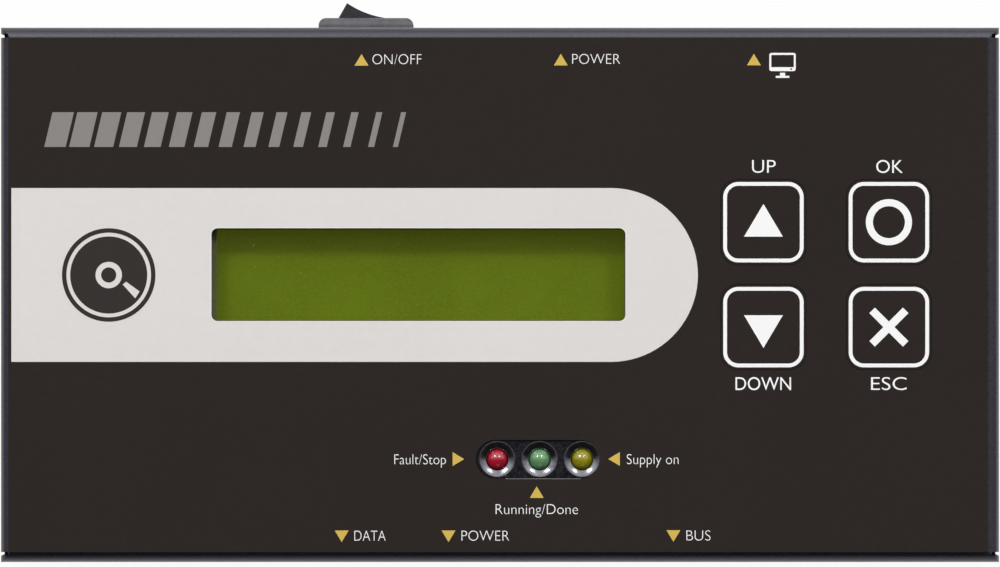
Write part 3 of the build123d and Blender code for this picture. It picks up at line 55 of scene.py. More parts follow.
MM = 0.001
HOUSING = "housing"
KEY_NAMES = ("up", "ok", "down", "esc")
LAMP_NAMES = ("red", "green", "yellow")


def node_centre(name):
    """Middle of a CAD node's box at rest."""
    low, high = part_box(name)
    return (low + high) / 2


CASE_MIDDLE = node_centre("top_cover")
FILM_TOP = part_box("overlay")[1].z


def place(x, y):
    """A point on the film, in metres, from millimetres right of and behind the middle of the case."""
    return (CASE_MIDDLE.x + x * MM, CASE_MIDDLE.y + y * MM)


# Settings that a user would change

class CaseSettings(bpy.types.PropertyGroup):
    """Paint of the folded steel case"""
    coat: FloatVectorProperty(
        name="Coat", description="Powder coat of the cover and the tray", subtype="COLOR",
        default=(0.008, 0.0077, 0.0105), min=0.0, max=1.0)
    grain: FloatProperty(
        name="Grain depth", description="Height of the powder coat's grain", subtype="DISTANCE",
        unit="LENGTH", default=0.000009, min=0.0)


class FilmSettings(bpy.types.PropertyGroup):
    """Colours of the printed film on the cover"""
    film: FloatVectorProperty(
        name="Film", description="Dark ground of the film", subtype="COLOR",
        default=(0.0212, 0.0162, 0.0135), min=0.0, max=1.0)
    band: FloatVectorProperty(
        name="Band", description="Pale band round the display", subtype="COLOR",
        default=(0.73, 0.695, 0.67), min=0.0, max=1.0)
    white: FloatVectorProperty(
        name="White print", description="Key frames, signs and words", subtype="COLOR",
        default=(0.94, 0.935, 0.925), min=0.0, max=1.0)
    arrow: FloatVectorProperty(
        name="Arrow print", description="Small arrows that point at lamps and sockets", subtype="COLOR",
        default=(0.65, 0.455, 0.082), min=0.0, max=1.0)
    # The grey ink prints the stripes, and also the painted highlight line at the lamps' slot
    grey: FloatVectorProperty(
        name="Grey print", description="Slanted stripes and the line at the lamps' slot", subtype="COLOR",
        default=(0.247, 0.231, 0.218), min=0.0, max=1.0)
    ink: FloatProperty(
        name="Ink height", description="Height of the print above the film", subtype="DISTANCE",
        unit="LENGTH", default=0.00002, min=0.0)


class DisplaySettings(bpy.types.PropertyGroup):
    """Character display and its window"""
    lit: FloatVectorProperty(
        name="Display", description="Olive ground of the display", subtype="COLOR",
        default=(0.094, 0.150, 0.0025), min=0.0, max=1.0)
    # Painted light: an even glow in the display's own colour that lightens the shade in its deep recess
    glow: FloatVectorProperty(
        name="Glow", description="Faint light from inside the display", subtype="COLOR",
        default=(0.040, 0.047, 0.003), min=0.0, max=1.0)


class LampSettings(bpy.types.PropertyGroup):
    """Three lamps in polished cups"""
    red: FloatVectorProperty(
        name="Red lamp", description="Lens of the left lamp", subtype="COLOR",
        default=(0.27, 0.006, 0.018), min=0.0, max=1.0)
    green: FloatVectorProperty(
        name="Green lamp", description="Lens of the middle lamp", subtype="COLOR",
        default=(0.085, 0.195, 0.088), min=0.0, max=1.0)
    yellow: FloatVectorProperty(
        name="Yellow lamp", description="Lens of the right lamp", subtype="COLOR",
        default=(0.19, 0.168, 0.003), min=0.0, max=1.0)
    lip: FloatProperty(
        name="Cup lip", description="Height of the rolled lip of each bright cup", subtype="DISTANCE",
        unit="LENGTH", default=0.000006, min=0.0)


class StageSettings(bpy.types.PropertyGroup):
    """Floor, light and camera"""
    floor: FloatVectorProperty(
        name="Floor", description="Pale floor under the station", subtype="COLOR",
        default=(0.82, 0.82, 0.82), min=0.0, max=1.0)
    power: FloatProperty(
        name="Lamp power", description="Power of the stronger soft box", subtype="POWER",
        unit="POWER", default=3.5, min=0.0)
    view_width: FloatProperty(
        name="View width", description="Width that the camera sees at the film's height",
        subtype="DISTANCE", unit="LENGTH", default=0.1582, min=0.01)
    view_height: FloatProperty(
        name="Camera height", description="Height of the camera above the film", subtype="DISTANCE",
        unit="LENGTH", default=3.0, min=0.1)


# Shared effects

def new_group(name, inputs, outputs):
    """An empty node group with named sockets, its input node and its output node."""
    group = bpy.data.node_groups.new(name, "ShaderNodeTree")
    for label, kind, value in inputs:
        socket = group.interface.new_socket(label, in_out="INPUT", socket_type=kind)
        socket.default_value = value
    for label, kind in outputs:
        group.interface.new_socket(label, in_out="OUTPUT", socket_type=kind)
    return group, group.nodes.new("NodeGroupInput"), group.nodes.new("NodeGroupOutput")


def noise(group, coordinates, scale, detail, roughness=0.5):
    """A noise texture in a group, on given coordinates, with its scale from a socket."""
    node = group.nodes.new("ShaderNodeTexNoise")
    group.links.new(coordinates, node.inputs["Vector"])
    group.links.new(scale, node.inputs["Scale"])
    node.inputs["Detail"].default_value = detail
    node.inputs["Roughness"].default_value = roughness
    return node


def object_place(tree):
    """Coordinates that are fixed to the object."""
    return tree.nodes.new("ShaderNodeTexCoord").outputs["Object"]


def cells(group, coordinates, scale):
    """A texture of small cells in a group, with its scale from a socket."""
    node = group.nodes.new("ShaderNodeTexVoronoi")
    group.links.new(coordinates, node.inputs["Vector"])
    group.links.new(scale, node.inputs["Scale"])
    return node


def remap(group, value, low, high, to_low, to_high):
    """A clamped change of range. Its ends are sockets or numbers."""
    node = group.nodes.new("ShaderNodeMapRange")
    group.links.new(value, node.inputs["Value"])
    ends = {"From Min": low, "From Max": high, "To Min": to_low, "To Max": to_high}
    for label, end in ends.items():
        if isinstance(end, bpy.types.NodeSocket):
            group.links.new(end, node.inputs[label])
        else:
            node.inputs[label].default_value = end
    return node.outputs["Result"]


def mix_colour(group, factor, first, second):
    """A mix of two colours, which are sockets or colour values."""
    node = group.nodes.new("ShaderNodeMix")
    node.data_type = "RGBA"
    group.links.new(factor, node.inputs["Factor"])
    for label, colour in (("A", first), ("B", second)):
        socket = next(s for s in node.inputs if s.name == label and s.type == "RGBA")
        if isinstance(colour, bpy.types.NodeSocket):
            group.links.new(colour, socket)
        else:
            socket.default_value = (*colour, 1.0)
    return next(s for s in node.outputs if s.type == "RGBA")


def math_node(group, operation, first, second):
    """A sum, product or other plain operation on two values."""
    node = group.nodes.new("ShaderNodeMath")
    node.operation = operation
    for socket, value in zip(node.inputs, (first, second)):
        if isinstance(value, bpy.types.NodeSocket):
            group.links.new(value, socket)
        else:
            socket.default_value = value
    return node.outputs["Value"]


TONE_START, TONE_END = 0.12, 0.42
GRAIN_LOW, GRAIN_HIGH = 0.3, 0.7
LUMP_SHARE = 0.6
SPECK_PICK = 0.82
LINE_STRETCH = (0.04, 1.0, 1.0)


def make_tone_group():
    """Colour that drifts slowly between two tones, with a finer mottle on top."""
    group, given, result = new_group(
        "tone_drift",
        [("Tone", "NodeSocketColor", (0.5, 0.5, 0.5, 1)),
         ("Second tone", "NodeSocketColor", (0.4, 0.4, 0.4, 1)),
         ("Drift scale", "NodeSocketFloat", 60.0), ("Mottle scale", "NodeSocketFloat", 900.0)],
        [("Color", "NodeSocketColor")])
    where = object_place(group)
    drift = noise(group, where, given.outputs["Drift scale"], 3.0)
    mottle = noise(group, where, given.outputs["Mottle scale"], 2.0)
    both = math_node(group, "MULTIPLY", drift.outputs["Fac"], mottle.outputs["Fac"])
    share = remap(group, both, TONE_START, TONE_END, 0.0, 1.0)
    colour = mix_colour(group, share, given.outputs["Tone"], given.outputs["Second tone"])
    group.links.new(colour, result.inputs["Color"])
    return group


def finish_grain(group, given, height, result):
    """Gives a group a roughness that goes with a height."""
    rough = remap(group, height, GRAIN_LOW, GRAIN_HIGH, given.outputs["Smooth"], given.outputs["Rough"])
    group.links.new(rough, result.inputs["Roughness"])


def make_grain_group():
    """Fine grain of a coat or a moulded skin: a height, and a roughness that goes with it."""
    group, given, result = new_group(
        "fine_grain",
        [("Grain scale", "NodeSocketFloat", 4000.0), ("Smooth", "NodeSocketFloat", 0.4),
         ("Rough", "NodeSocketFloat", 0.6)],
        [("Height", "NodeSocketFloat"), ("Roughness", "NodeSocketFloat")])
    where = object_place(group)
    fine = noise(group, where, given.outputs["Grain scale"], 4.0, 0.6)
    lumps = cells(group, where, given.outputs["Grain scale"])
    lumps.feature = "SMOOTH_F1"
    height = math_node(group, "MULTIPLY", lumps.outputs["Distance"], LUMP_SHARE)
    group.links.new(math_node(group, "ADD", fine.outputs["Fac"], height), result.inputs["Height"])
    finish_grain(group, given, fine.outputs["Fac"], result)
    return group


def make_dust_group():
    """A few small specks of dust, as a mask."""
    group, given, result = new_group(
        "dust_specks",
        [("Speck scale", "NodeSocketFloat", 700.0), ("Speck size", "NodeSocketFloat", 0.12),
         ("Strength", "NodeSocketFloat", 0.5)],
        [("Mask", "NodeSocketFloat")])
    where = object_place(group)
    specks = cells(group, where, given.outputs["Speck scale"])
    near = remap(group, specks.outputs["Distance"], 0.0, given.outputs["Speck size"],
                 given.outputs["Strength"], 0.0)
    pick = group.nodes.new("ShaderNodeSeparateColor")
    group.links.new(specks.outputs["Color"], pick.inputs["Color"])
    some = math_node(group, "GREATER_THAN", pick.outputs["Red"], SPECK_PICK)
    group.links.new(math_node(group, "MULTIPLY", near, some), result.inputs["Mask"])
    return group


def make_brush_group():
    """Fine lines of drawn or rolled metal along X, as a height and a roughness."""
    group, given, result = new_group(
        "drawn_lines",
        [("Line scale", "NodeSocketFloat", 6000.0), ("Smooth", "NodeSocketFloat", 0.2),
         ("Rough", "NodeSocketFloat", 0.4)],
        [("Height", "NodeSocketFloat"), ("Roughness", "NodeSocketFloat")])
    where = object_place(group)
    stretch = group.nodes.new("ShaderNodeMapping")
    stretch.inputs["Scale"].default_value = LINE_STRETCH
    group.links.new(where, stretch.inputs["Vector"])
    lines = noise(group, stretch.outputs["Vector"], given.outputs["Line scale"], 3.0)
    group.links.new(lines.outputs["Fac"], result.inputs["Height"])
    finish_grain(group, given, lines.outputs["Fac"], result)
    return group


EFFECT_MAKERS = {"tone": make_tone_group, "grain": make_grain_group, "dust": make_dust_group,
                 "brush": make_brush_group}
EFFECTS = {}


def effect(name):
    """A shared node group, made the first time it is asked for."""
    if name not in EFFECTS:
        EFFECTS[name] = EFFECT_MAKERS[name]()
    return EFFECTS[name]


def use_effect(tree, name, **values):
    """Places a shared group in a material, with its own values."""
    node = tree.nodes.new("ShaderNodeGroup")
    node.node_tree = effect(name)
    for label, value in values.items():
        socket = node.inputs[label.replace("_", " ")]
        socket.default_value = (*value, 1.0) if socket.type == "RGBA" else value
    return node


# Finishes

def start_finish(name):
    """A new material with its tree and its shader."""
    material = bpy.data.materials.new(name)
    material.use_nodes = True
    tree = material.node_tree
    return material, tree, tree.nodes["Principled BSDF"]


BUMP_STRENGTH = 0.6


def bump(tree, height, depth):
    """A bump of a real depth in metres."""
    node = tree.nodes.new("ShaderNodeBump")
    node.inputs["Strength"].default_value = BUMP_STRENGTH
    node.inputs["Distance"].default_value = depth
    tree.links.new(height, node.inputs["Height"])
    return node.outputs["Normal"]


def deeper(colour, share):
    """The same hue, darker or paler by a share."""
    return tuple(min(1.0, c * share) for c in colour)


DUST_COLOUR = (0.6, 0.6, 0.55)


def surface(name, colour, second, smooth, rough, grain, depth, drift=60.0, mottle=900.0,
            metal=0.0, specular=0.5, coat=0.0, coat_rough=0.05, drawn=False, dust=0.0):
    """A finish with drifting colour, grain and roughness, and dust where asked."""
    material, tree, shader = start_finish(name)
    tone = use_effect(tree, "tone", Tone=colour, Second_tone=second, Drift_scale=drift, Mottle_scale=mottle)
    colour_out = tone.outputs["Color"]
    if dust:
        specks = use_effect(tree, "dust", Strength=dust)
        colour_out = mix_colour(tree, specks.outputs["Mask"], colour_out, DUST_COLOUR)
    tree.links.new(colour_out, shader.inputs["Base Color"])
    if drawn:
        skin = use_effect(tree, "brush", Line_scale=grain, Smooth=smooth, Rough=rough)
    else:
        skin = use_effect(tree, "grain", Grain_scale=grain, Smooth=smooth, Rough=rough)
    tree.links.new(skin.outputs["Roughness"], shader.inputs["Roughness"])
    tree.links.new(bump(tree, skin.outputs["Height"], depth), shader.inputs["Normal"])
    shader.inputs["Metallic"].default_value = metal
    shader.inputs["Specular IOR Level"].default_value = specular
    shader.inputs["Coat Weight"].default_value = coat
    shader.inputs["Coat Roughness"].default_value = coat_rough
    return material


METAL_DARKER, PLASTIC_PALER = 0.82, 1.35


def metal_finish(name, colour):
    """Bare or plated metal with drawn lines."""
    return surface(name, colour, deeper(colour, METAL_DARKER), smooth=0.18, rough=0.36, grain=5000.0,
                   depth=4e-6, metal=1.0, drawn=True)


def plastic_finish(name, colour, smooth=0.32):
    """Moulded plastic with a fine eroded skin."""
    return surface(name, colour, deeper(colour, PLASTIC_PALER), smooth, rough=0.5, grain=2600.0, depth=1.2e-5)


TRACK_SCALE, TRACK_GAP, TRACK_DEPTH = 260.0, 0.03, 2e-5
TRACK_COLOURS = {"Color1": (0.008, 0.075, 0.022, 1), "Color2": (0.010, 0.092, 0.028, 1),
                 "Mortar": (0.022, 0.16, 0.045, 1)}
PAD_COLOUR = (0.62, 0.58, 0.5)


def board_finish(name):
    """Solder mask over copper tracks, with small bare pads."""
    material, tree, shader = start_finish(name)
    where = object_place(tree)
    tracks = tree.nodes.new("ShaderNodeTexBrick")
    tracks.inputs["Scale"].default_value = TRACK_SCALE
    tracks.inputs["Mortar Size"].default_value = TRACK_GAP
    for label, colour in TRACK_COLOURS.items():
        tracks.inputs[label].default_value = colour
    tree.links.new(where, tracks.inputs["Vector"])
    tone = use_effect(tree, "tone", Tone=(0.006, 0.06, 0.018), Second_tone=(0.012, 0.10, 0.032))
    pads = use_effect(tree, "dust", Speck_scale=420.0, Speck_size=0.2, Strength=0.85)
    masked = mix_colour(tree, tracks.outputs["Fac"], tone.outputs["Color"], tracks.outputs["Color"])
    bare = mix_colour(tree, pads.outputs["Mask"], masked, PAD_COLOUR)
    tree.links.new(bare, shader.inputs["Base Color"])
    skin = use_effect(tree, "grain", Grain_scale=1800.0, Smooth=0.28, Rough=0.42)
    tree.links.new(skin.outputs["Roughness"], shader.inputs["Roughness"])
    tree.links.new(bump(tree, tracks.outputs["Fac"], TRACK_DEPTH), shader.inputs["Normal"])
    return material


def paint(node, material):
    """Gives a CAD node's slots one finish."""
    for slot in NODES[node].material_slots:
        slot.material = material


def paint_all(finishes):
    """Gives each finish to its CAD nodes."""
    for material, nodes in finishes:
        for node in nodes:
            paint(node, material)


# Shapes

def add_piece(name, mesh, material, body):
    """A new piece of the object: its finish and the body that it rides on."""
    piece = bpy.data.objects.new(name, mesh)
    bpy.context.scene.collection.objects.link(piece)
    mesh.materials.clear()
    mesh.materials.append(material)
    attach(piece, body)
    return piece


ROUND_STEPS = 48


def arc(x, y, radius, start, end, steps):
    """Points of an arc, angles in degrees."""
    turns = [math.radians(start + (end - start) * i / steps) for i in range(steps + 1)]
    return [(x + radius * math.cos(t), y + radius * math.sin(t)) for t in turns]


def disc(x, y, radius, steps=ROUND_STEPS):
    """Points of a whole circle."""
    return arc(x, y, radius, 0, 360, steps)[:-1]


def rounded(x, y, width, depth, radius, steps=8):
    """Points of a rectangle with round corners."""
    across, along = width / 2 - radius, depth / 2 - radius
    corners = [(across, along, 0), (-across, along, 90), (-across, -along, 180), (across, -along, 270)]
    points = []
    for dx, dy, start in corners:
        points += arc(x + dx, y + dy, radius, start, start + 90, steps)
    return points


def fill_mesh(mesh, shell):
    """Puts a skin into a mesh, its faces turned outwards."""
    bmesh.ops.recalc_face_normals(shell, faces=shell.faces)
    shell.to_mesh(mesh)
    shell.free()
    return mesh


JOIN_REACH = 0.0001 * MM


def close_up(mesh):
    """Joins the caps and walls of a filled outline into one closed skin."""
    shell = bmesh.new()
    shell.from_mesh(mesh)
    bmesh.ops.remove_doubles(shell, verts=shell.verts, dist=JOIN_REACH)
    return fill_mesh(mesh, shell)


def mesh_of(curve, name):
    """The mesh that a filled curve makes, without the curve."""
    carrier = bpy.data.objects.new(name + "_outline", curve)
    bpy.context.scene.collection.objects.link(carrier)
    bpy.context.view_layer.update()
    made = carrier.evaluated_get(bpy.context.evaluated_depsgraph_get())
    mesh = bpy.data.meshes.new_from_object(made)
    bpy.data.objects.remove(carrier)
    bpy.data.curves.remove(curve)
    mesh.name = name
    return mesh


INK_SUNK = 0.01 * MM


def flat_print(name, loops, base, ink, material, body=HOUSING):
    """A printed shape: filled loops of points, sunk a little in the face below and proud by the ink."""
    curve = bpy.data.curves.new(name, "CURVE")
    curve.dimensions = "2D"
    curve.fill_mode = "BOTH"
    curve.extrude = (ink + INK_SUNK) / 2
    for loop in loops:
        line = curve.splines.new("POLY")
        line.points.add(len(loop) - 1)
        for point, (x, y) in zip(line.points, loop):
            point.co = (x, y, 0.0, 1.0)
        line.use_cyclic_u = True
    mesh = mesh_of(curve, name)
    mesh.transform(Matrix.Translation((0.0, 0.0, base + (ink - INK_SUNK) / 2)))
    add_piece(name, close_up(mesh), material, body)


WORD_HALF, WORD_CURVES = 0.5, 6


def word_mesh(words, weight):
    """Mesh of a word, one unit thick, before it is fitted."""
    text = bpy.data.curves.new("word", "FONT")
    text.body = words
    text.extrude = WORD_HALF
    text.offset = weight
    text.resolution_u = WORD_CURVES
    return mesh_of(text, "word")


def capital_height():
    """Height of the built-in font's capitals."""
    mesh = word_mesh("H", 0.0)
    height = max(v.co.y for v in mesh.vertices)
    bpy.data.meshes.remove(mesh)
    return height


def lettering(name, words, left, right, baseline, capital, weight, ink, material):
    """A printed word between two sides, on a baseline, with capitals of a given height."""
    mesh = word_mesh(words, weight)
    xs = [v.co.x for v in mesh.vertices]
    across = (right - left) / (max(xs) - min(xs))
    up = capital / capital_height()
    thick = ink + INK_SUNK
    for vertex in mesh.vertices:
        x, y, z = vertex.co
        height = FILM_TOP - INK_SUNK + (z + WORD_HALF) * thick
        vertex.co = (left + (x - min(xs)) * across, baseline + y * up, height)
    mesh.name = name
    add_piece(name, close_up(mesh), material, HOUSING)


def turned_loops(shell, rings, x=0.0, y=0.0):
    """Loops of points through rings of (radius, height) about an upright axis."""
    return [[shell.verts.new((px, py, height)) for px, py in disc(x, y, radius)] for radius, height in rings]


def join_loops(shell, loops):
    """Smooth faces from each loop to the next."""
    for first, second in zip(loops, loops[1:]):
        for i in range(ROUND_STEPS):
            j = (i + 1) % ROUND_STEPS
            shell.faces.new((first[i], first[j], second[j], second[i])).smooth = True


def ring_skin(name, rings):
    """A closed turned skin about the Z axis, its last ring joined to its first."""
    shell = bmesh.new()
    loops = turned_loops(shell, rings)
    join_loops(shell, loops + loops[:1])
    return fill_mesh(bpy.data.meshes.new(name), shell)


def turned_mesh(name, rings, centres):
    """A closed turned solid, flat at both ends, repeated about several centres."""
    shell = bmesh.new()
    for x, y in centres:
        loops = turned_loops(shell, rings, x, y)
        join_loops(shell, loops)
        shell.faces.new(loops[0][::-1])
        shell.faces.new(loops[-1])
    return fill_mesh(bpy.data.meshes.new(name), shell)


# Operators

class STATION_OT_case(bpy.types.Operator):
    """Finishes the folded cover, the tray, screws and feet"""
    bl_idname = "station.case"
    bl_label = "Case"

    def execute(self, context):
        case = context.scene.station_case
        coat = tuple(case.coat)
        cover = surface("case_coat", coat, deeper(coat, 1.6), smooth=0.24, rough=0.4, grain=2200.0,
                        depth=case.grain, drift=35.0, mottle=1500.0, specular=0.9)
        cover.node_tree.nodes["Principled BSDF"].inputs["Specular Tint"].default_value = COAT_SHEEN
        tray = surface("tray_coat", deeper(coat, 0.9), deeper(coat, 1.3), smooth=0.4, rough=0.62,
                       grain=2600.0, depth=case.grain, drift=35.0, mottle=1500.0, specular=0.45)
        rubber = surface("foot_rubber", (0.018, 0.018, 0.019), (0.035, 0.035, 0.036), smooth=0.7, rough=0.9,
                         grain=1800.0, depth=3e-5, specular=0.3, dust=0.25)
        steel = surface("screw_plating", (0.05, 0.05, 0.055), (0.09, 0.09, 0.1), smooth=0.25, rough=0.45,
                        grain=3000.0, depth=8e-6, metal=0.85)
        paint_all([(cover, ["top_cover"]), (tray, ["base_plate"]), (steel, ["cover_screws"])])
        feet = turned_mesh("round_feet", *foot_shape())
        feet = add_piece("round_feet", feet, rubber, HOUSING)
        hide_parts("rubber_feet")
        low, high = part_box("top_cover")
        flat_print("seam_laps", seam_loops(low, high), low.z, high.z - low.z - LAP_SHORT, tray)
        return {"FINISHED"}


COAT_SHEEN = (0.88, 0.87, 1.0, 1.0)
SHEET, SEAM_WIDE = 1.0 * MM, 0.6 * MM
LAP_SUNK, LAP_THICK, LAP_SHORT = 0.5 * MM, 0.6 * MM, 4.0 * MM
FOOT_RADIUS, FOOT_EDGE = 5.0 * MM, 0.8 * MM
QUARTER_TURN = (0.0, 0.4, 0.8, 1.2, math.pi / 2)


def seam_loops(low, high):
    """Outlines of the four strips that close the cover's corner seams, a little behind the outer faces."""
    loops = []
    for outer, inward in ((low.x, 1), (high.x, -1)):
        for seam in (low.y + SHEET, high.y - SHEET - SEAM_WIDE):
            near, far = outer + inward * LAP_SUNK, outer + inward * (LAP_SUNK + LAP_THICK)
            loops.append([(near, seam), (far, seam), (far, seam + SEAM_WIDE), (near, seam + SEAM_WIDE)])
    return loops


def foot_shape():
    """Profile of a foot, rounded where it meets the bench, and the middles of the four feet."""
    low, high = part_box("rubber_feet")
    rings = [(FOOT_RADIUS - FOOT_EDGE + FOOT_EDGE * math.sin(t), low.z + FOOT_EDGE * (1 - math.cos(t)))
             for t in QUARTER_TURN]
    xs = (low.x + FOOT_RADIUS, high.x - FOOT_RADIUS)
    ys = (low.y + FOOT_RADIUS, high.y - FOOT_RADIUS)
    return rings + [(FOOT_RADIUS, high.z)], [(x, y) for x in xs for y in ys]


class STATION_OT_film(bpy.types.Operator):
    """Prints the film: band, stripes, signs, arrows and words, with painted highlights as a rim round the
    window and a line at the lamps' slot
    """
    bl_idname = "station.film"
    bl_label = "Printed film"

    def execute(self, context):
        film = context.scene.station_film
        ink = film.ink
        ground = film_finish(film)
        paint("overlay", ground)
        white = ink_finish("white_ink", tuple(film.white))
        pale = ink_finish("band_ink", tuple(film.band))
        yellow = ink_finish("arrow_ink", tuple(film.arrow))
        grey = ink_finish("grey_ink", tuple(film.grey))
        print_band(ink, pale)
        # Painted highlight: a pale rim round the window
        print_window_glint(ink, ink_finish("rim_ink", deeper(tuple(film.band), WINDOW_GLINT_PALER)))
        # Painted highlight: a grey line at the front edge of the lamps' slot
        print_slot_glint(ink, grey)
        print_stripes(ink, grey)
        print_platter(ink, film)
        for name, direction, x, y in ARROWS:
            flat_print("arrow_" + name, [arrow_loop(direction, x, y)], FILM_TOP, ink, yellow)
        for name, words, left, right, baseline, capital, weight in WORDS:
            first, second = place(left, baseline), place(right, baseline)
            lettering("word_" + name, words, first[0], second[0], first[1], capital * MM, weight, ink, white)
        print_monitor(ink, white)
        return {"FINISHED"}


def film_finish(film):
    """Matt dark film with a fine velvet texture."""
    colour = tuple(film.film)
    return surface("film_ground", colour, deeper(colour, 1.12), smooth=0.5, rough=0.64, grain=3200.0,
                   depth=9e-6, drift=25.0, mottle=700.0, specular=0.1)


def ink_finish(name, colour):
    """Screen print on the film."""
    return surface(name, colour, deeper(colour, 0.965), smooth=0.48, rough=0.62, grain=3200.0, depth=6e-6,
                   drift=40.0, mottle=800.0, specular=0.3)


# Places and sizes of the print are in millimetres, right of and behind the middle of the case.
# A word has its left and right ends, its baseline, the height of its capitals and its weight.
BAND_LEFT, BAND_END, BAND_MIDDLE, BAND_RADIUS = -77.3, 17.56, 3.15, 13.75
ARROW_HALF, ARROW_TALL = 1.1, 1.84
ARROWS = (
    ("switch", "up", -21.91, 37.19), ("jack", "up", 9.62, 37.22), ("computer", "up", 40.16, 37.24),
    ("data", "down", -25.05, -38.19), ("feed", "down", -8.14, -38.19), ("ribbon", "down", 27.43, -38.15),
    ("lamp_left", "right", -6.58, -25.98), ("lamp_right", "left", 18.04, -25.96),
    ("lamp_middle", "up", 5.81, -31.2),
)
WORDS = (
    ("switch", "ON/OFF", -20.17, -12.42, 36.47, 1.63, -0.019),
    ("jack", "POWER", 11.42, 19.0, 36.51, 1.63, -0.019),
    ("data", "DATA", -23.04, -18.1, -38.92, 1.65, -0.018),
    ("feed", "POWER", -6.09, 1.45, -38.92, 1.65, -0.019),
    ("ribbon", "BUS", 29.49, 33.3, -38.88, 1.65, -0.02),
    ("lamp_left", "Fault/Stop", -16.72, -8.56, -26.82, 1.62, -0.017),
    ("lamp_right", "Supply on", 20.07, 28.24, -26.79, 1.62, -0.016),
    ("lamp_middle", "Running/Done", -0.69, 12.33, -34.7, 1.62, -0.016),
    ("key_up", "UP", 39.88, 43.62, 19.31, 2.04, -0.0075),
    ("key_ok", "OK", 59.52, 63.73, 19.29, 2.04, -0.0035),
    ("key_down", "DOWN", 37.25, 46.04, -15.06, 2.04, -0.002),
    ("key_esc", "ESC", 58.7, 64.32, -15.05, 2.04, -0.007),
)


def scaled(points):
    """Points in millimetres on the film, as metres."""
    return [place(x, y) for x, y in points]


def arrow_loop(direction, x, y):
    """A small arrow head about a point."""
    turn = {"up": 0, "left": 90, "down": 180, "right": 270}[direction]
    c, s = round(math.cos(math.radians(turn))), round(math.sin(math.radians(turn)))
    half = ARROW_TALL / 2
    head = [(0.0, half), (-ARROW_HALF, -half), (ARROW_HALF, -half)]
    return scaled([(x + px * c - py * s, y + px * s + py * c) for px, py in head])


def print_band(ink, pale):
    """Pale band with a round end, open where the display window and its painted highlight rim are."""
    outline = [(BAND_LEFT, BAND_MIDDLE - BAND_RADIUS)]
    outline += arc(BAND_END, BAND_MIDDLE, BAND_RADIUS, -90, 90, 40)
    outline += [(BAND_LEFT, BAND_MIDDLE + BAND_RADIUS)]
    flat_print("pale_band", [scaled(outline), window_loop(WINDOW_GLINT_WIDE)], FILM_TOP, ink, pale)


# Width and paleness of the painted highlight rim round the window
WINDOW_CORNER, WINDOW_GLINT_WIDE, WINDOW_GLINT_PALER = 1.0 * MM, 0.15 * MM, 1.17


def window_loop(wider):
    """Outline of the film's window, widened all round."""
    low, high = film_opening("window_pane")
    middle, size = (low + high) / 2, high - low
    return rounded(middle.x, middle.y, size.x + 2 * wider, size.y + 2 * wider, WINDOW_CORNER + wider)


def print_window_glint(ink, paler):
    """Painted highlight: a thin rim right round the window, paler than the band, where the window's cut edge
    catches the light.
    """
    flat_print("window_rim", [window_loop(WINDOW_GLINT_WIDE), window_loop(0.0)], FILM_TOP, ink, paler)


# Width and start of the painted highlight line at the lamps' slot
SLOT_GLINT_WIDE, SLOT_GLINT_START = 0.085 * MM, 1.6 * MM


def print_slot_glint(ink, grey):
    """Painted highlight: a pale grey line along the front edge of the lamps' slot, where its cut edge catches
    the light.
    """
    low, high = film_opening("led_bezel")
    end = (high.y - low.y) / 2
    left, right, near = low.x + end + SLOT_GLINT_START, high.x - end, low.y - SLOT_GLINT_WIDE
    line = [(left, near), (right, near), (right, low.y), (left, low.y)]
    flat_print("slot_edge", [line], FILM_TOP, ink, grey)


LEVEL = 0.001 * MM


def film_opening(node):
    """The film's opening over a node, found from the hole edges near the node's middle."""
    middle = node_centre(node)
    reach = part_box(node)[1] - middle
    top = [v.co for v in NODES["overlay"].data.vertices if abs(v.co.z - FILM_TOP) < LEVEL]
    inside = [p for p in top if abs(p.x - middle.x) < reach.x and abs(p.y - middle.y) < reach.y]
    low = Vector((min(p.x for p in inside), min(p.y for p in inside), FILM_TOP))
    high = Vector((max(p.x for p in inside), max(p.y for p in inside), FILM_TOP))
    return low, high


STRIPE_LEFT, STRIPE_RIGHT, STRIPE_LOW, STRIPE_HIGH = -72.1, -13.0, 23.4, 28.9
STRIPE_COUNT, STRIPE_LEAN, STRIPE_SHARE, STRIPE_LOSS = 15, 1.3, 0.86, 0.66


def print_stripes(ink, grey):
    """Slanted grey stripes that thin out towards the right."""
    pitch = (STRIPE_RIGHT - STRIPE_LEFT) / STRIPE_COUNT
    loops = []
    for i in range(STRIPE_COUNT):
        left = STRIPE_LEFT + i * pitch
        wide = pitch * (STRIPE_SHARE - STRIPE_LOSS * i / (STRIPE_COUNT - 1))
        loops.append(scaled([(left, STRIPE_LOW), (left + wide, STRIPE_LOW),
                             (left + wide + STRIPE_LEAN, STRIPE_HIGH), (left + STRIPE_LEAN, STRIPE_HIGH)]))
    flat_print("grey_stripes", loops, FILM_TOP, ink, grey)


PLATTER_X, PLATTER_Y = -61.9, 3.15
PLATTER_RINGS = ((7.4, 72), (6.7, 72), (6.1, 72), (2.1, 40), (1.2, 32))
PLATTER_ARM = ((2.2, -1.5), (2.75, -1.05), (4.9, -2.6), (4.2, -3.7))


def print_platter(ink, film):
    """Plain sign of a platter and its arm, on the band."""
    dark = ink_finish("sign_ink", tuple(film.film))
    loops = [disc(PLATTER_X, PLATTER_Y, radius, steps) for radius, steps in PLATTER_RINGS]
    loops.append([(PLATTER_X + x, PLATTER_Y + y) for x, y in PLATTER_ARM])
    flat_print("platter_sign", [scaled(loop) for loop in loops], FILM_TOP + ink, ink, dark)


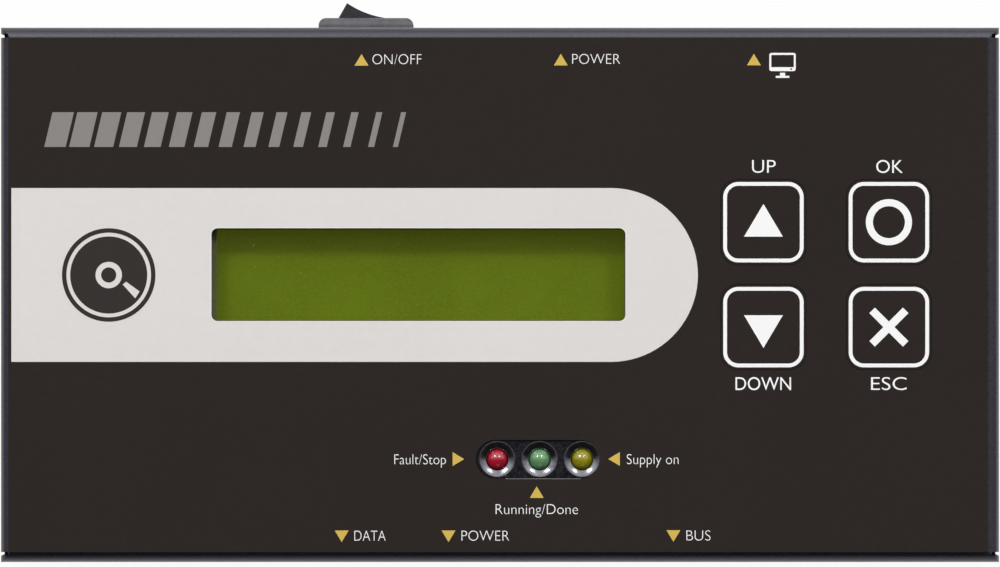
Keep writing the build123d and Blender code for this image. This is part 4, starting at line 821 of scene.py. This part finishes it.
SCREEN_X, SCREEN_Y, SCREEN_WIDE, SCREEN_TALL, SCREEN_CORNER = 44.7, 36.84, 4.17, 2.88, 0.32
GLASS_Y, GLASS_WIDE, GLASS_TALL, GLASS_CORNER = 36.99, 3.57, 1.94, 0.05
BUTTON_X, BUTTON_Y, BUTTON_RADIUS = 46.07, 35.71, 0.15
NECK_HALF, NECK_HIGH, NECK_LOW, STAND_HALF, STAND_LOW = 0.4, 35.14, 34.65, 1.07, 34.33


def print_monitor(ink, white):
    """Sign of a screen with a button, above its stand."""
    shell = rounded(SCREEN_X, SCREEN_Y, SCREEN_WIDE, SCREEN_TALL, SCREEN_CORNER, 5)
    glass = rounded(SCREEN_X, GLASS_Y, GLASS_WIDE, GLASS_TALL, GLASS_CORNER, 3)
    button = disc(BUTTON_X, BUTTON_Y, BUTTON_RADIUS, 16)
    right = [(STAND_HALF, STAND_LOW), (STAND_HALF, NECK_LOW), (NECK_HALF, NECK_LOW), (NECK_HALF, NECK_HIGH)]
    stand = [(SCREEN_X + x, y) for x, y in right] + [(SCREEN_X - x, y) for x, y in reversed(right)]
    flat_print("screen_sign", [scaled(loop) for loop in (shell, glass, button, stand)], FILM_TOP, ink, white)


KEY_FRAME, KEY_STROKE, KEY_CORNER = 12.72, 0.6, 2.4
POINTER_HALF, POINTER_TALL = 3.07, 5.17
POINTER_MIDDLE = {"up": 0.3, "down": -0.71}
RING_SIZES = ((3.65, 64), (2.53, 56))
CROSS_REACH, CROSS_TIP, CROSS_NOTCH = 2.65, 0.434, 0.8742
QUARTERS = ((1, 0), (0, 1), (-1, 0), (0, -1))


def key_sign(name, x, y):
    """Loops of a key's sign, in millimetres about its middle."""
    if name in POINTER_MIDDLE:
        middle = y + POINTER_MIDDLE[name]
        reach = POINTER_TALL / 2 if name == "up" else -POINTER_TALL / 2
        return [[(x, middle + reach), (x - POINTER_HALF, middle - reach), (x + POINTER_HALF, middle - reach)]]
    if name == "ok":
        return [disc(x, y, radius, steps) for radius, steps in RING_SIZES]
    far, near = CROSS_REACH + CROSS_TIP, CROSS_REACH - CROSS_TIP
    arm = ((far, near), (near, far), (0.0, CROSS_NOTCH))
    return [[(x + px * c - py * s, y + px * s + py * c) for c, s in QUARTERS for px, py in arm]]


class STATION_OT_keys(bpy.types.Operator):
    """Prints the four keys, each print riding with its key"""
    bl_idname = "station.keys"
    bl_label = "Keys"

    def execute(self, context):
        film = context.scene.station_film
        ground = bpy.data.materials["film_ground"]
        white = bpy.data.materials["white_ink"]
        cap = plastic_finish("key_cap_plastic", (0.03, 0.03, 0.032))
        for name in KEY_NAMES:
            patch = "key_" + name + "_patch"
            paint_all([(ground, [patch]), (cap, ["key_" + name + "_cap", "key_" + name + "_stem"])])
            middle = (node_centre(patch) - CASE_MIDDLE) / MM
            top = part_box(patch)[1].z
            outer = rounded(middle.x, middle.y, KEY_FRAME, KEY_FRAME, KEY_CORNER, 10)
            clear = KEY_FRAME - 2 * KEY_STROKE
            inner = rounded(middle.x, middle.y, clear, clear, KEY_CORNER - KEY_STROKE, 10)
            body = "key_" + name
            flat_print("frame_" + name, [scaled(outer), scaled(inner)], top, film.ink, white, body)
            loops = [scaled(loop) for loop in key_sign(name, middle.x, middle.y)]
            flat_print("sign_" + name, loops, top, film.ink, white, body)
        return {"FINISHED"}


class STATION_OT_display(bpy.types.Operator):
    """Finishes the display, its bezel and its clear window"""
    bl_idname = "station.display"
    bl_label = "Display"

    def execute(self, context):
        display = context.scene.station_display
        lit = tuple(display.lit)
        ground = surface("display_ground", lit, deeper(lit, 0.62), smooth=0.4, rough=0.55, grain=1500.0,
                         depth=3e-6, drift=55.0, mottle=3500.0, specular=0.05, dust=0.25)
        shader = ground.node_tree.nodes["Principled BSDF"]
        # Painted light: the display's ground glows evenly to lighten the shade in its recess
        shader.inputs["Emission Color"].default_value = (*display.glow, 1.0)
        shader.inputs["Emission Strength"].default_value = 1.0
        glass = clear_finish("display_glass", deeper(lit, 0.9), cover=0.03, specks=0.12, specular=0.1)
        window = clear_finish("clear_window", (0.3, 0.31, 0.27), cover=0.004, specks=0.4, specular=0.12)
        # Painted reflection: the steel frame is tinted olive as if it mirrored the green display
        frame_painted_reflection = surface("display_frame", (0.1, 0.115, 0.03), (0.13, 0.15, 0.04), smooth=0.4, rough=0.55,
                              grain=2600.0, depth=1e-5)
        paint_all([(glass, ["lcd_glass"]), (frame_painted_reflection, ["lcd_bezel"]), (ground, ["lcd_backlight"]),
                   (window, ["window_pane"])])
        return {"FINISHED"}


def clear_finish(name, tint, cover, specks, specular):
    """Clear sheet: mostly see-through, with a tint, a few specks of dust and a glossy face."""
    material, tree, shader = start_finish(name)
    tone = use_effect(tree, "tone", Tone=tint, Second_tone=deeper(tint, 0.9), Drift_scale=30.0)
    tree.links.new(tone.outputs["Color"], shader.inputs["Base Color"])
    dust = use_effect(tree, "dust", Speck_scale=260.0, Speck_size=0.055, Strength=specks)
    tree.links.new(math_node(tree, "ADD", dust.outputs["Mask"], cover), shader.inputs["Alpha"])
    skin = use_effect(tree, "grain", Grain_scale=900.0, Smooth=0.06, Rough=0.12)
    tree.links.new(skin.outputs["Roughness"], shader.inputs["Roughness"])
    shader.inputs["Specular IOR Level"].default_value = specular
    return material


class STATION_OT_lamps(bpy.types.Operator):
    """Finishes the lamps and lines their cups with bright metal"""
    bl_idname = "station.lamps"
    bl_label = "Lamps"

    def execute(self, context):
        lamps = context.scene.station_lamps
        holder = surface("lamp_holder", (0.001, 0.001, 0.002), (0.024, 0.023, 0.03), smooth=0.1, rough=0.26,
                         grain=1400.0, depth=1.2e-5, drift=900.0, mottle=3500.0, specular=0.15, coat=0.15,
                         coat_rough=0.08, dust=0.6)
        paint("led_bezel", holder)
        bright = surface("cup_silver", (0.22, 0.22, 0.235), (0.14, 0.14, 0.155), smooth=0.1, rough=0.26,
                         grain=900.0, depth=3e-5, metal=1.0, drift=500.0, mottle=2400.0)
        for name in LAMP_NAMES:
            node = "led_" + name
            middle = node_centre(node)
            tinted = lens_finish(name, tuple(getattr(lamps, name)))
            lens = turned_mesh("lens_" + name, lens_rings(node), [middle.xy])
            lens = add_piece("lens_" + name, lens, tinted, HOUSING)
            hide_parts(node)
            mesh = ring_skin("cup_liner_" + name, liner_rings(lamps.lip))
            mesh.transform(Matrix.Translation((middle.x, middle.y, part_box("led_bezel")[1].z)))
            add_piece("cup_liner_" + name, mesh, bright, HOUSING)
        return {"FINISHED"}


LENS_RADIUS, LENS_FLANGE, LENS_RAISED = 1.7 * MM, 1.0 * MM, 0.28 * MM
DOME_TURNS = (*range(0, 90, 6), 89)


def lens_rings(node):
    """Profile of a lamp: a thin flange, a straight side and a round dome."""
    low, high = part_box(node)
    flange = (high.x - low.x) / 2
    rings = [(flange, low.z), (flange, low.z + LENS_FLANGE), (LENS_RADIUS, low.z + LENS_FLANGE)]
    spring = high.z + LENS_RAISED - LENS_RADIUS
    turns = [math.radians(turn) for turn in DOME_TURNS]
    return rings + [(LENS_RADIUS * math.cos(t), spring + LENS_RADIUS * math.sin(t)) for t in turns]


CUP_LIP, CUP_TOP, CUP_FOOT, CUP_DEEP = 2.9 * MM, 2.75 * MM, 1.73 * MM, 0.36 * MM
LIP_GAP, LIP_ROLL = 0.004 * MM, 0.6
WALL_START, WALL_END, WALL_STEPS = 9.0, 29.0, 9


def liner_rings(lip):
    """Profile of a cup's lining: a low lip on the holder, then a wall that steepens towards the lamp."""
    rings = [(CUP_TOP, LIP_GAP), (CUP_LIP, LIP_GAP)]
    roll = (CUP_LIP - CUP_TOP) * LIP_ROLL
    rings += [(CUP_LIP - roll * (1 - math.cos(t)), lip * math.sin(t)) for t in QUARTER_TURN[1:]]
    radius, height = rings[-1]
    across = (radius - CUP_FOOT) / WALL_STEPS
    for step in range(WALL_STEPS):
        slope = WALL_START + (WALL_END - WALL_START) * step / (WALL_STEPS - 1)
        radius -= across
        height -= across * math.tan(math.radians(slope))
        rings.append((radius, height))
    return rings + [(CUP_FOOT, -CUP_DEEP)]


# Glossy coat of the lenses, and a painted glow that keeps their shaded edges from going black
LENS_COAT_AND_PAINTED_GLOW = {"Emission Strength": 0.15, "Specular IOR Level": 0.05, "Coat Weight": 1.0,
              "Coat Roughness": 0.02, "Coat IOR": 1.75}


def lens_finish(name, colour):
    """Cast lens: tinted all through, glossy, with a painted glow of its own colour that lightens its shaded
    edges.
    """
    material, tree, shader = start_finish("lens_" + name)
    tone = use_effect(tree, "tone", Tone=colour, Second_tone=deeper(colour, 1.5), Drift_scale=700.0,
                      Mottle_scale=2600.0)
    tree.links.new(tone.outputs["Color"], shader.inputs["Base Color"])
    skin = use_effect(tree, "grain", Grain_scale=900.0, Smooth=0.1, Rough=0.18)
    tree.links.new(skin.outputs["Roughness"], shader.inputs["Roughness"])
    # Painted light: the lens glows faintly in its own colour
    tree.links.new(tone.outputs["Color"], shader.inputs["Emission Color"])
    for label, value in LENS_COAT_AND_PAINTED_GLOW.items():
        shader.inputs[label].default_value = value
    return material


class STATION_OT_switch(bpy.types.Operator):
    """Finishes the rocker switch and its contacts"""
    bl_idname = "station.switch"
    bl_label = "Rocker switch"

    def execute(self, context):
        black = surface("switch_plastic", (0.066, 0.065, 0.073), (0.1, 0.099, 0.108), smooth=0.4, rough=0.58,
                        grain=2400.0, depth=1.6e-5, specular=0.4)
        moving = surface("rocker_plastic", (0.009, 0.009, 0.012), (0.018, 0.018, 0.023), smooth=0.3,
                         rough=0.46, grain=2400.0, depth=1.2e-5)
        copper = metal_finish("contact_copper", (0.72, 0.38, 0.2))
        tin = metal_finish("tin_plate", (0.68, 0.68, 0.66))
        paint_all([(black, ["switch_housing"]), (moving, ["rocker", "rocker_plunger"]),
                   (copper, ["switch_lever"]), (tin, ["switch_terminals"])])
        return {"FINISHED"}


class STATION_OT_sockets(bpy.types.Operator):
    """Finishes the sockets and headers in the front and rear walls"""
    bl_idname = "station.sockets"
    bl_label = "Sockets"

    def execute(self, context):
        black = plastic_finish("socket_plastic", (0.02, 0.02, 0.021))
        white = plastic_finish("host_plastic", (0.62, 0.62, 0.6))
        steel = metal_finish("shell_steel", (0.66, 0.66, 0.67))
        gold = metal_finish("contact_gold", (0.86, 0.6, 0.22))
        tin = bpy.data.materials["tin_plate"]
        paint_all([(black, ["data_socket", "jack_body", "ribbon_header"]),
                   (white, ["host_body", "drive_power_header"]), (steel, ["host_shell"]),
                   (gold, ["data_contacts", "host_contacts", "ribbon_pins"]),
                   (tin, ["drive_power_pins", "jack_pin"])])
        return {"FINISHED"}


class STATION_OT_inside(bpy.types.Operator):
    """Finishes the boards and what stands on them"""
    bl_idname = "station.inside"
    bl_label = "Inside"

    def execute(self, context):
        board = board_finish("board_mask")
        chip = surface("chip_body", (0.014, 0.014, 0.015), (0.025, 0.025, 0.026), smooth=0.55, rough=0.75,
                       grain=3600.0, depth=1.5e-5, specular=0.35)
        can = metal_finish("can_metal", (0.62, 0.63, 0.65))
        coil = surface("coil_ferrite", (0.07, 0.07, 0.075), (0.11, 0.11, 0.115), smooth=0.6, rough=0.8,
                       grain=2200.0, depth=3e-5)
        brass = metal_finish("post_brass", (0.76, 0.58, 0.26))
        wire = plastic_finish("wire_skin", (0.42, 0.012, 0.012), smooth=0.35)
        ribbon = surface("cable_skin", (0.62, 0.62, 0.6), (0.54, 0.54, 0.52), smooth=0.4, rough=0.55,
                         grain=3000.0, depth=2e-5, drawn=True)
        strip = bpy.data.materials["socket_plastic"]
        gold = bpy.data.materials["contact_gold"]
        tin = bpy.data.materials["tin_plate"]
        screw = bpy.data.materials["screw_plating"]
        paint_all([(board, ["main_board", "panel_board", "lcd_board"]),
                   (chip, ["controller_chip", "memory_chips"]), (can, ["capacitors"]), (coil, ["power_coil"]),
                   (brass, ["main_standoffs", "panel_standoffs", "lcd_standoffs"]), (wire, ["switch_wires"]),
                   (strip, ["cable_sockets", "lcd_socket", "switch_header", "tact_switches"]),
                   (ribbon, ["flat_cable"]), (gold, ["lcd_pins"]), (tin, ["led_leads"]),
                   (screw, ["board_screws"])])
        return {"FINISHED"}


class STATION_OT_stage(bpy.types.Operator):
    """Sets the floor, the soft light and the camera"""
    bl_idname = "station.stage"
    bl_label = "Stage"

    def execute(self, context):
        stage = context.scene.station_stage
        lay_floor(stage)
        set_sky(context.scene)
        hang_lights(stage)
        set_camera(context.scene, stage)
        context.scene.view_settings.view_transform = "Standard"
        return {"FINISHED"}


def seen_directly(tree):
    """One where a ray comes from the camera, a mirror or clear glass, else nothing."""
    path = tree.nodes.new("ShaderNodeLightPath")
    first = math_node(tree, "MAXIMUM", path.outputs["Is Camera Ray"], path.outputs["Is Glossy Ray"])
    return math_node(tree, "MAXIMUM", first, path.outputs["Is Transmission Ray"])


FLOOR_HALF, FLOOR_WHITE = 3.0, 0.94
FLOOR_CORNERS = ((-1, -1), (1, -1), (1, 1), (-1, 1))


def lay_floor(stage):
    """A wide pale sheet that reads white where it is seen and keeps the station's shadow."""
    mesh = bpy.data.meshes.new("floor")
    mesh.from_pydata([(x * FLOOR_HALF, y * FLOOR_HALF, 0) for x, y in FLOOR_CORNERS], [], [(0, 1, 2, 3)])
    floor = bpy.data.objects.new("floor", mesh)
    bpy.context.scene.collection.objects.link(floor)
    material, tree, shader = start_finish("floor_paper")
    tone = use_effect(tree, "tone", Tone=tuple(stage.floor), Second_tone=deeper(tuple(stage.floor), 0.985),
                      Drift_scale=3.0, Mottle_scale=60.0)
    tree.links.new(tone.outputs["Color"], shader.inputs["Base Color"])
    shader.inputs["Roughness"].default_value = 0.85
    shader.inputs["Specular IOR Level"].default_value = 0.1
    glow = tree.nodes.new("ShaderNodeEmission")
    glow.inputs["Color"].default_value = (1, 1, 1, 1)
    blend = tree.nodes.new("ShaderNodeMixShader")
    tree.links.new(math_node(tree, "MULTIPLY", seen_directly(tree), FLOOR_WHITE), blend.inputs[0])
    tree.links.new(shader.outputs["BSDF"], blend.inputs[1])
    tree.links.new(glow.outputs["Emission"], blend.inputs[2])
    tree.links.new(blend.outputs["Shader"], tree.nodes["Material Output"].inputs["Surface"])
    mesh.materials.append(material)


# The surround's colour at heights from the horizon up, and where it turns from front to rear
SKY_BEHIND = ((0.05, (0.5, 0.5, 0.52)), (0.4, (1.4, 1.4, 1.43)), (0.94, (1.4, 1.4, 1.43)),
              (0.99, (0.5, 0.5, 0.52)))
SKY_IN_FRONT = ((0.02, (0.3, 0.3, 0.31)), (0.1, (0.03, 0.03, 0.032)), (0.9, (0.03, 0.03, 0.032)),
                (0.99, (0.12, 0.12, 0.12)))
SKY_TURN_START, SKY_TURN_END = -0.1, 0.3


def sky_ramp(tree, height, stops):
    """Colour of the surround by height."""
    ramp = tree.nodes.new("ShaderNodeValToRGB")
    marks = ramp.color_ramp.elements
    while len(marks) < len(stops):
        marks.new(1.0)
    for mark, (position, colour) in zip(marks, stops):
        mark.position = position
        mark.color = (*colour, 1.0)
    tree.links.new(height, ramp.inputs["Fac"])
    return ramp.outputs["Color"]


def set_sky(scene):
    """Soft surround: pale behind, dim in front above the horizon."""
    world = bpy.data.worlds.new("studio")
    scene.world = world
    world.use_nodes = True
    tree = world.node_tree
    ground = tree.nodes["Background"]
    where = tree.nodes.new("ShaderNodeTexCoord")
    parts = tree.nodes.new("ShaderNodeSeparateXYZ")
    tree.links.new(where.outputs["Generated"], parts.inputs["Vector"])
    behind = sky_ramp(tree, parts.outputs["Z"], SKY_BEHIND)
    in_front = sky_ramp(tree, parts.outputs["Z"], SKY_IN_FRONT)
    turn = remap(tree, parts.outputs["Y"], SKY_TURN_START, SKY_TURN_END, 0.0, 1.0)
    tree.links.new(mix_colour(tree, turn, in_front, behind), ground.inputs["Color"])
    ground.inputs["Strength"].default_value = 1.0


# Each soft box: its place, the length of its side, its share of the power and its colour
SOFT_BOXES = (
    ("rear_left", (-0.40, 0.58, 0.84), 0.18, 1.0, (1.0, 1.0, 1.0)),
    ("rear_right", (0.40, 0.58, 0.84), 0.15, 0.72, (1.0, 1.0, 1.0)),
    ("front", (0.1, -1.0, 0.3), 0.5, 0.12, (1.0, 0.99, 0.97)),
)


def hang_lights(stage):
    """Two soft boxes behind the station and a weak one in front."""
    for name, spot, side, share, colour in SOFT_BOXES:
        light = bpy.data.lights.new("soft_box_" + name, "AREA")
        light.shape = "SQUARE"
        light.size = side
        light.energy = stage.power * share
        light.color = colour
        lamp = bpy.data.objects.new("soft_box_" + name, light)
        bpy.context.scene.collection.objects.link(lamp)
        lamp.location = spot
        aim = Vector((0.0, 0.0, FILM_TOP)) - Vector(spot)
        lamp.rotation_euler = aim.to_track_quat("-Z", "Y").to_euler()


CAMERA_BEHIND = 1.8 * MM
SENSOR, CLIP_NEAR, CLIP_FAR = 36.0, 0.05, 20.0


def set_camera(scene, stage):
    """A camera straight above the film, far off, with the station filling the picture."""
    eye = bpy.data.cameras.new("camera")
    eye.sensor_width = SENSOR
    eye.lens = SENSOR * stage.view_height / stage.view_width
    eye.clip_start = CLIP_NEAR
    eye.clip_end = CLIP_FAR
    camera = bpy.data.objects.new("camera", eye)
    scene.collection.objects.link(camera)
    camera.location = (CASE_MIDDLE.x, CASE_MIDDLE.y + CAMERA_BEHIND, FILM_TOP + stage.view_height)
    camera.rotation_euler = (0.0, 0.0, 0.0)
    scene.camera = camera


class STATION_PT_panel(bpy.types.Panel):
    """Lists the station's steps"""
    bl_idname = "STATION_PT_panel"
    bl_label = "Drive erasing station"
    bl_space_type = "VIEW_3D"
    bl_region_type = "UI"
    bl_category = "Station"

    def draw(self, context):
        for step in STEPS:
            self.layout.operator(step.bl_idname)


STEPS = (STATION_OT_stage, STATION_OT_case, STATION_OT_film, STATION_OT_keys, STATION_OT_display,
         STATION_OT_lamps, STATION_OT_switch, STATION_OT_sockets, STATION_OT_inside)
SETTINGS = {"station_case": CaseSettings, "station_film": FilmSettings, "station_display": DisplaySettings,
            "station_lamps": LampSettings, "station_stage": StageSettings}


def register():
    """Adds the settings, the steps and the panel."""
    for settings in SETTINGS.values():
        bpy.utils.register_class(settings)
    for name, settings in SETTINGS.items():
        setattr(bpy.types.Scene, name, PointerProperty(type=settings))
    for step in STEPS:
        bpy.utils.register_class(step)
    bpy.utils.register_class(STATION_PT_panel)


def unregister():
    """Takes the panel, the steps and the settings away again."""
    bpy.utils.unregister_class(STATION_PT_panel)
    for step in reversed(STEPS):
        bpy.utils.unregister_class(step)
    for name, settings in SETTINGS.items():
        delattr(bpy.types.Scene, name)
        bpy.utils.unregister_class(settings)


def main():
    """Builds the station step by step."""
    register()
    for step in STEPS:
        group, name = step.bl_idname.split(".")
        getattr(getattr(bpy.ops, group), name)()


if __name__ == "__main__":
    main()
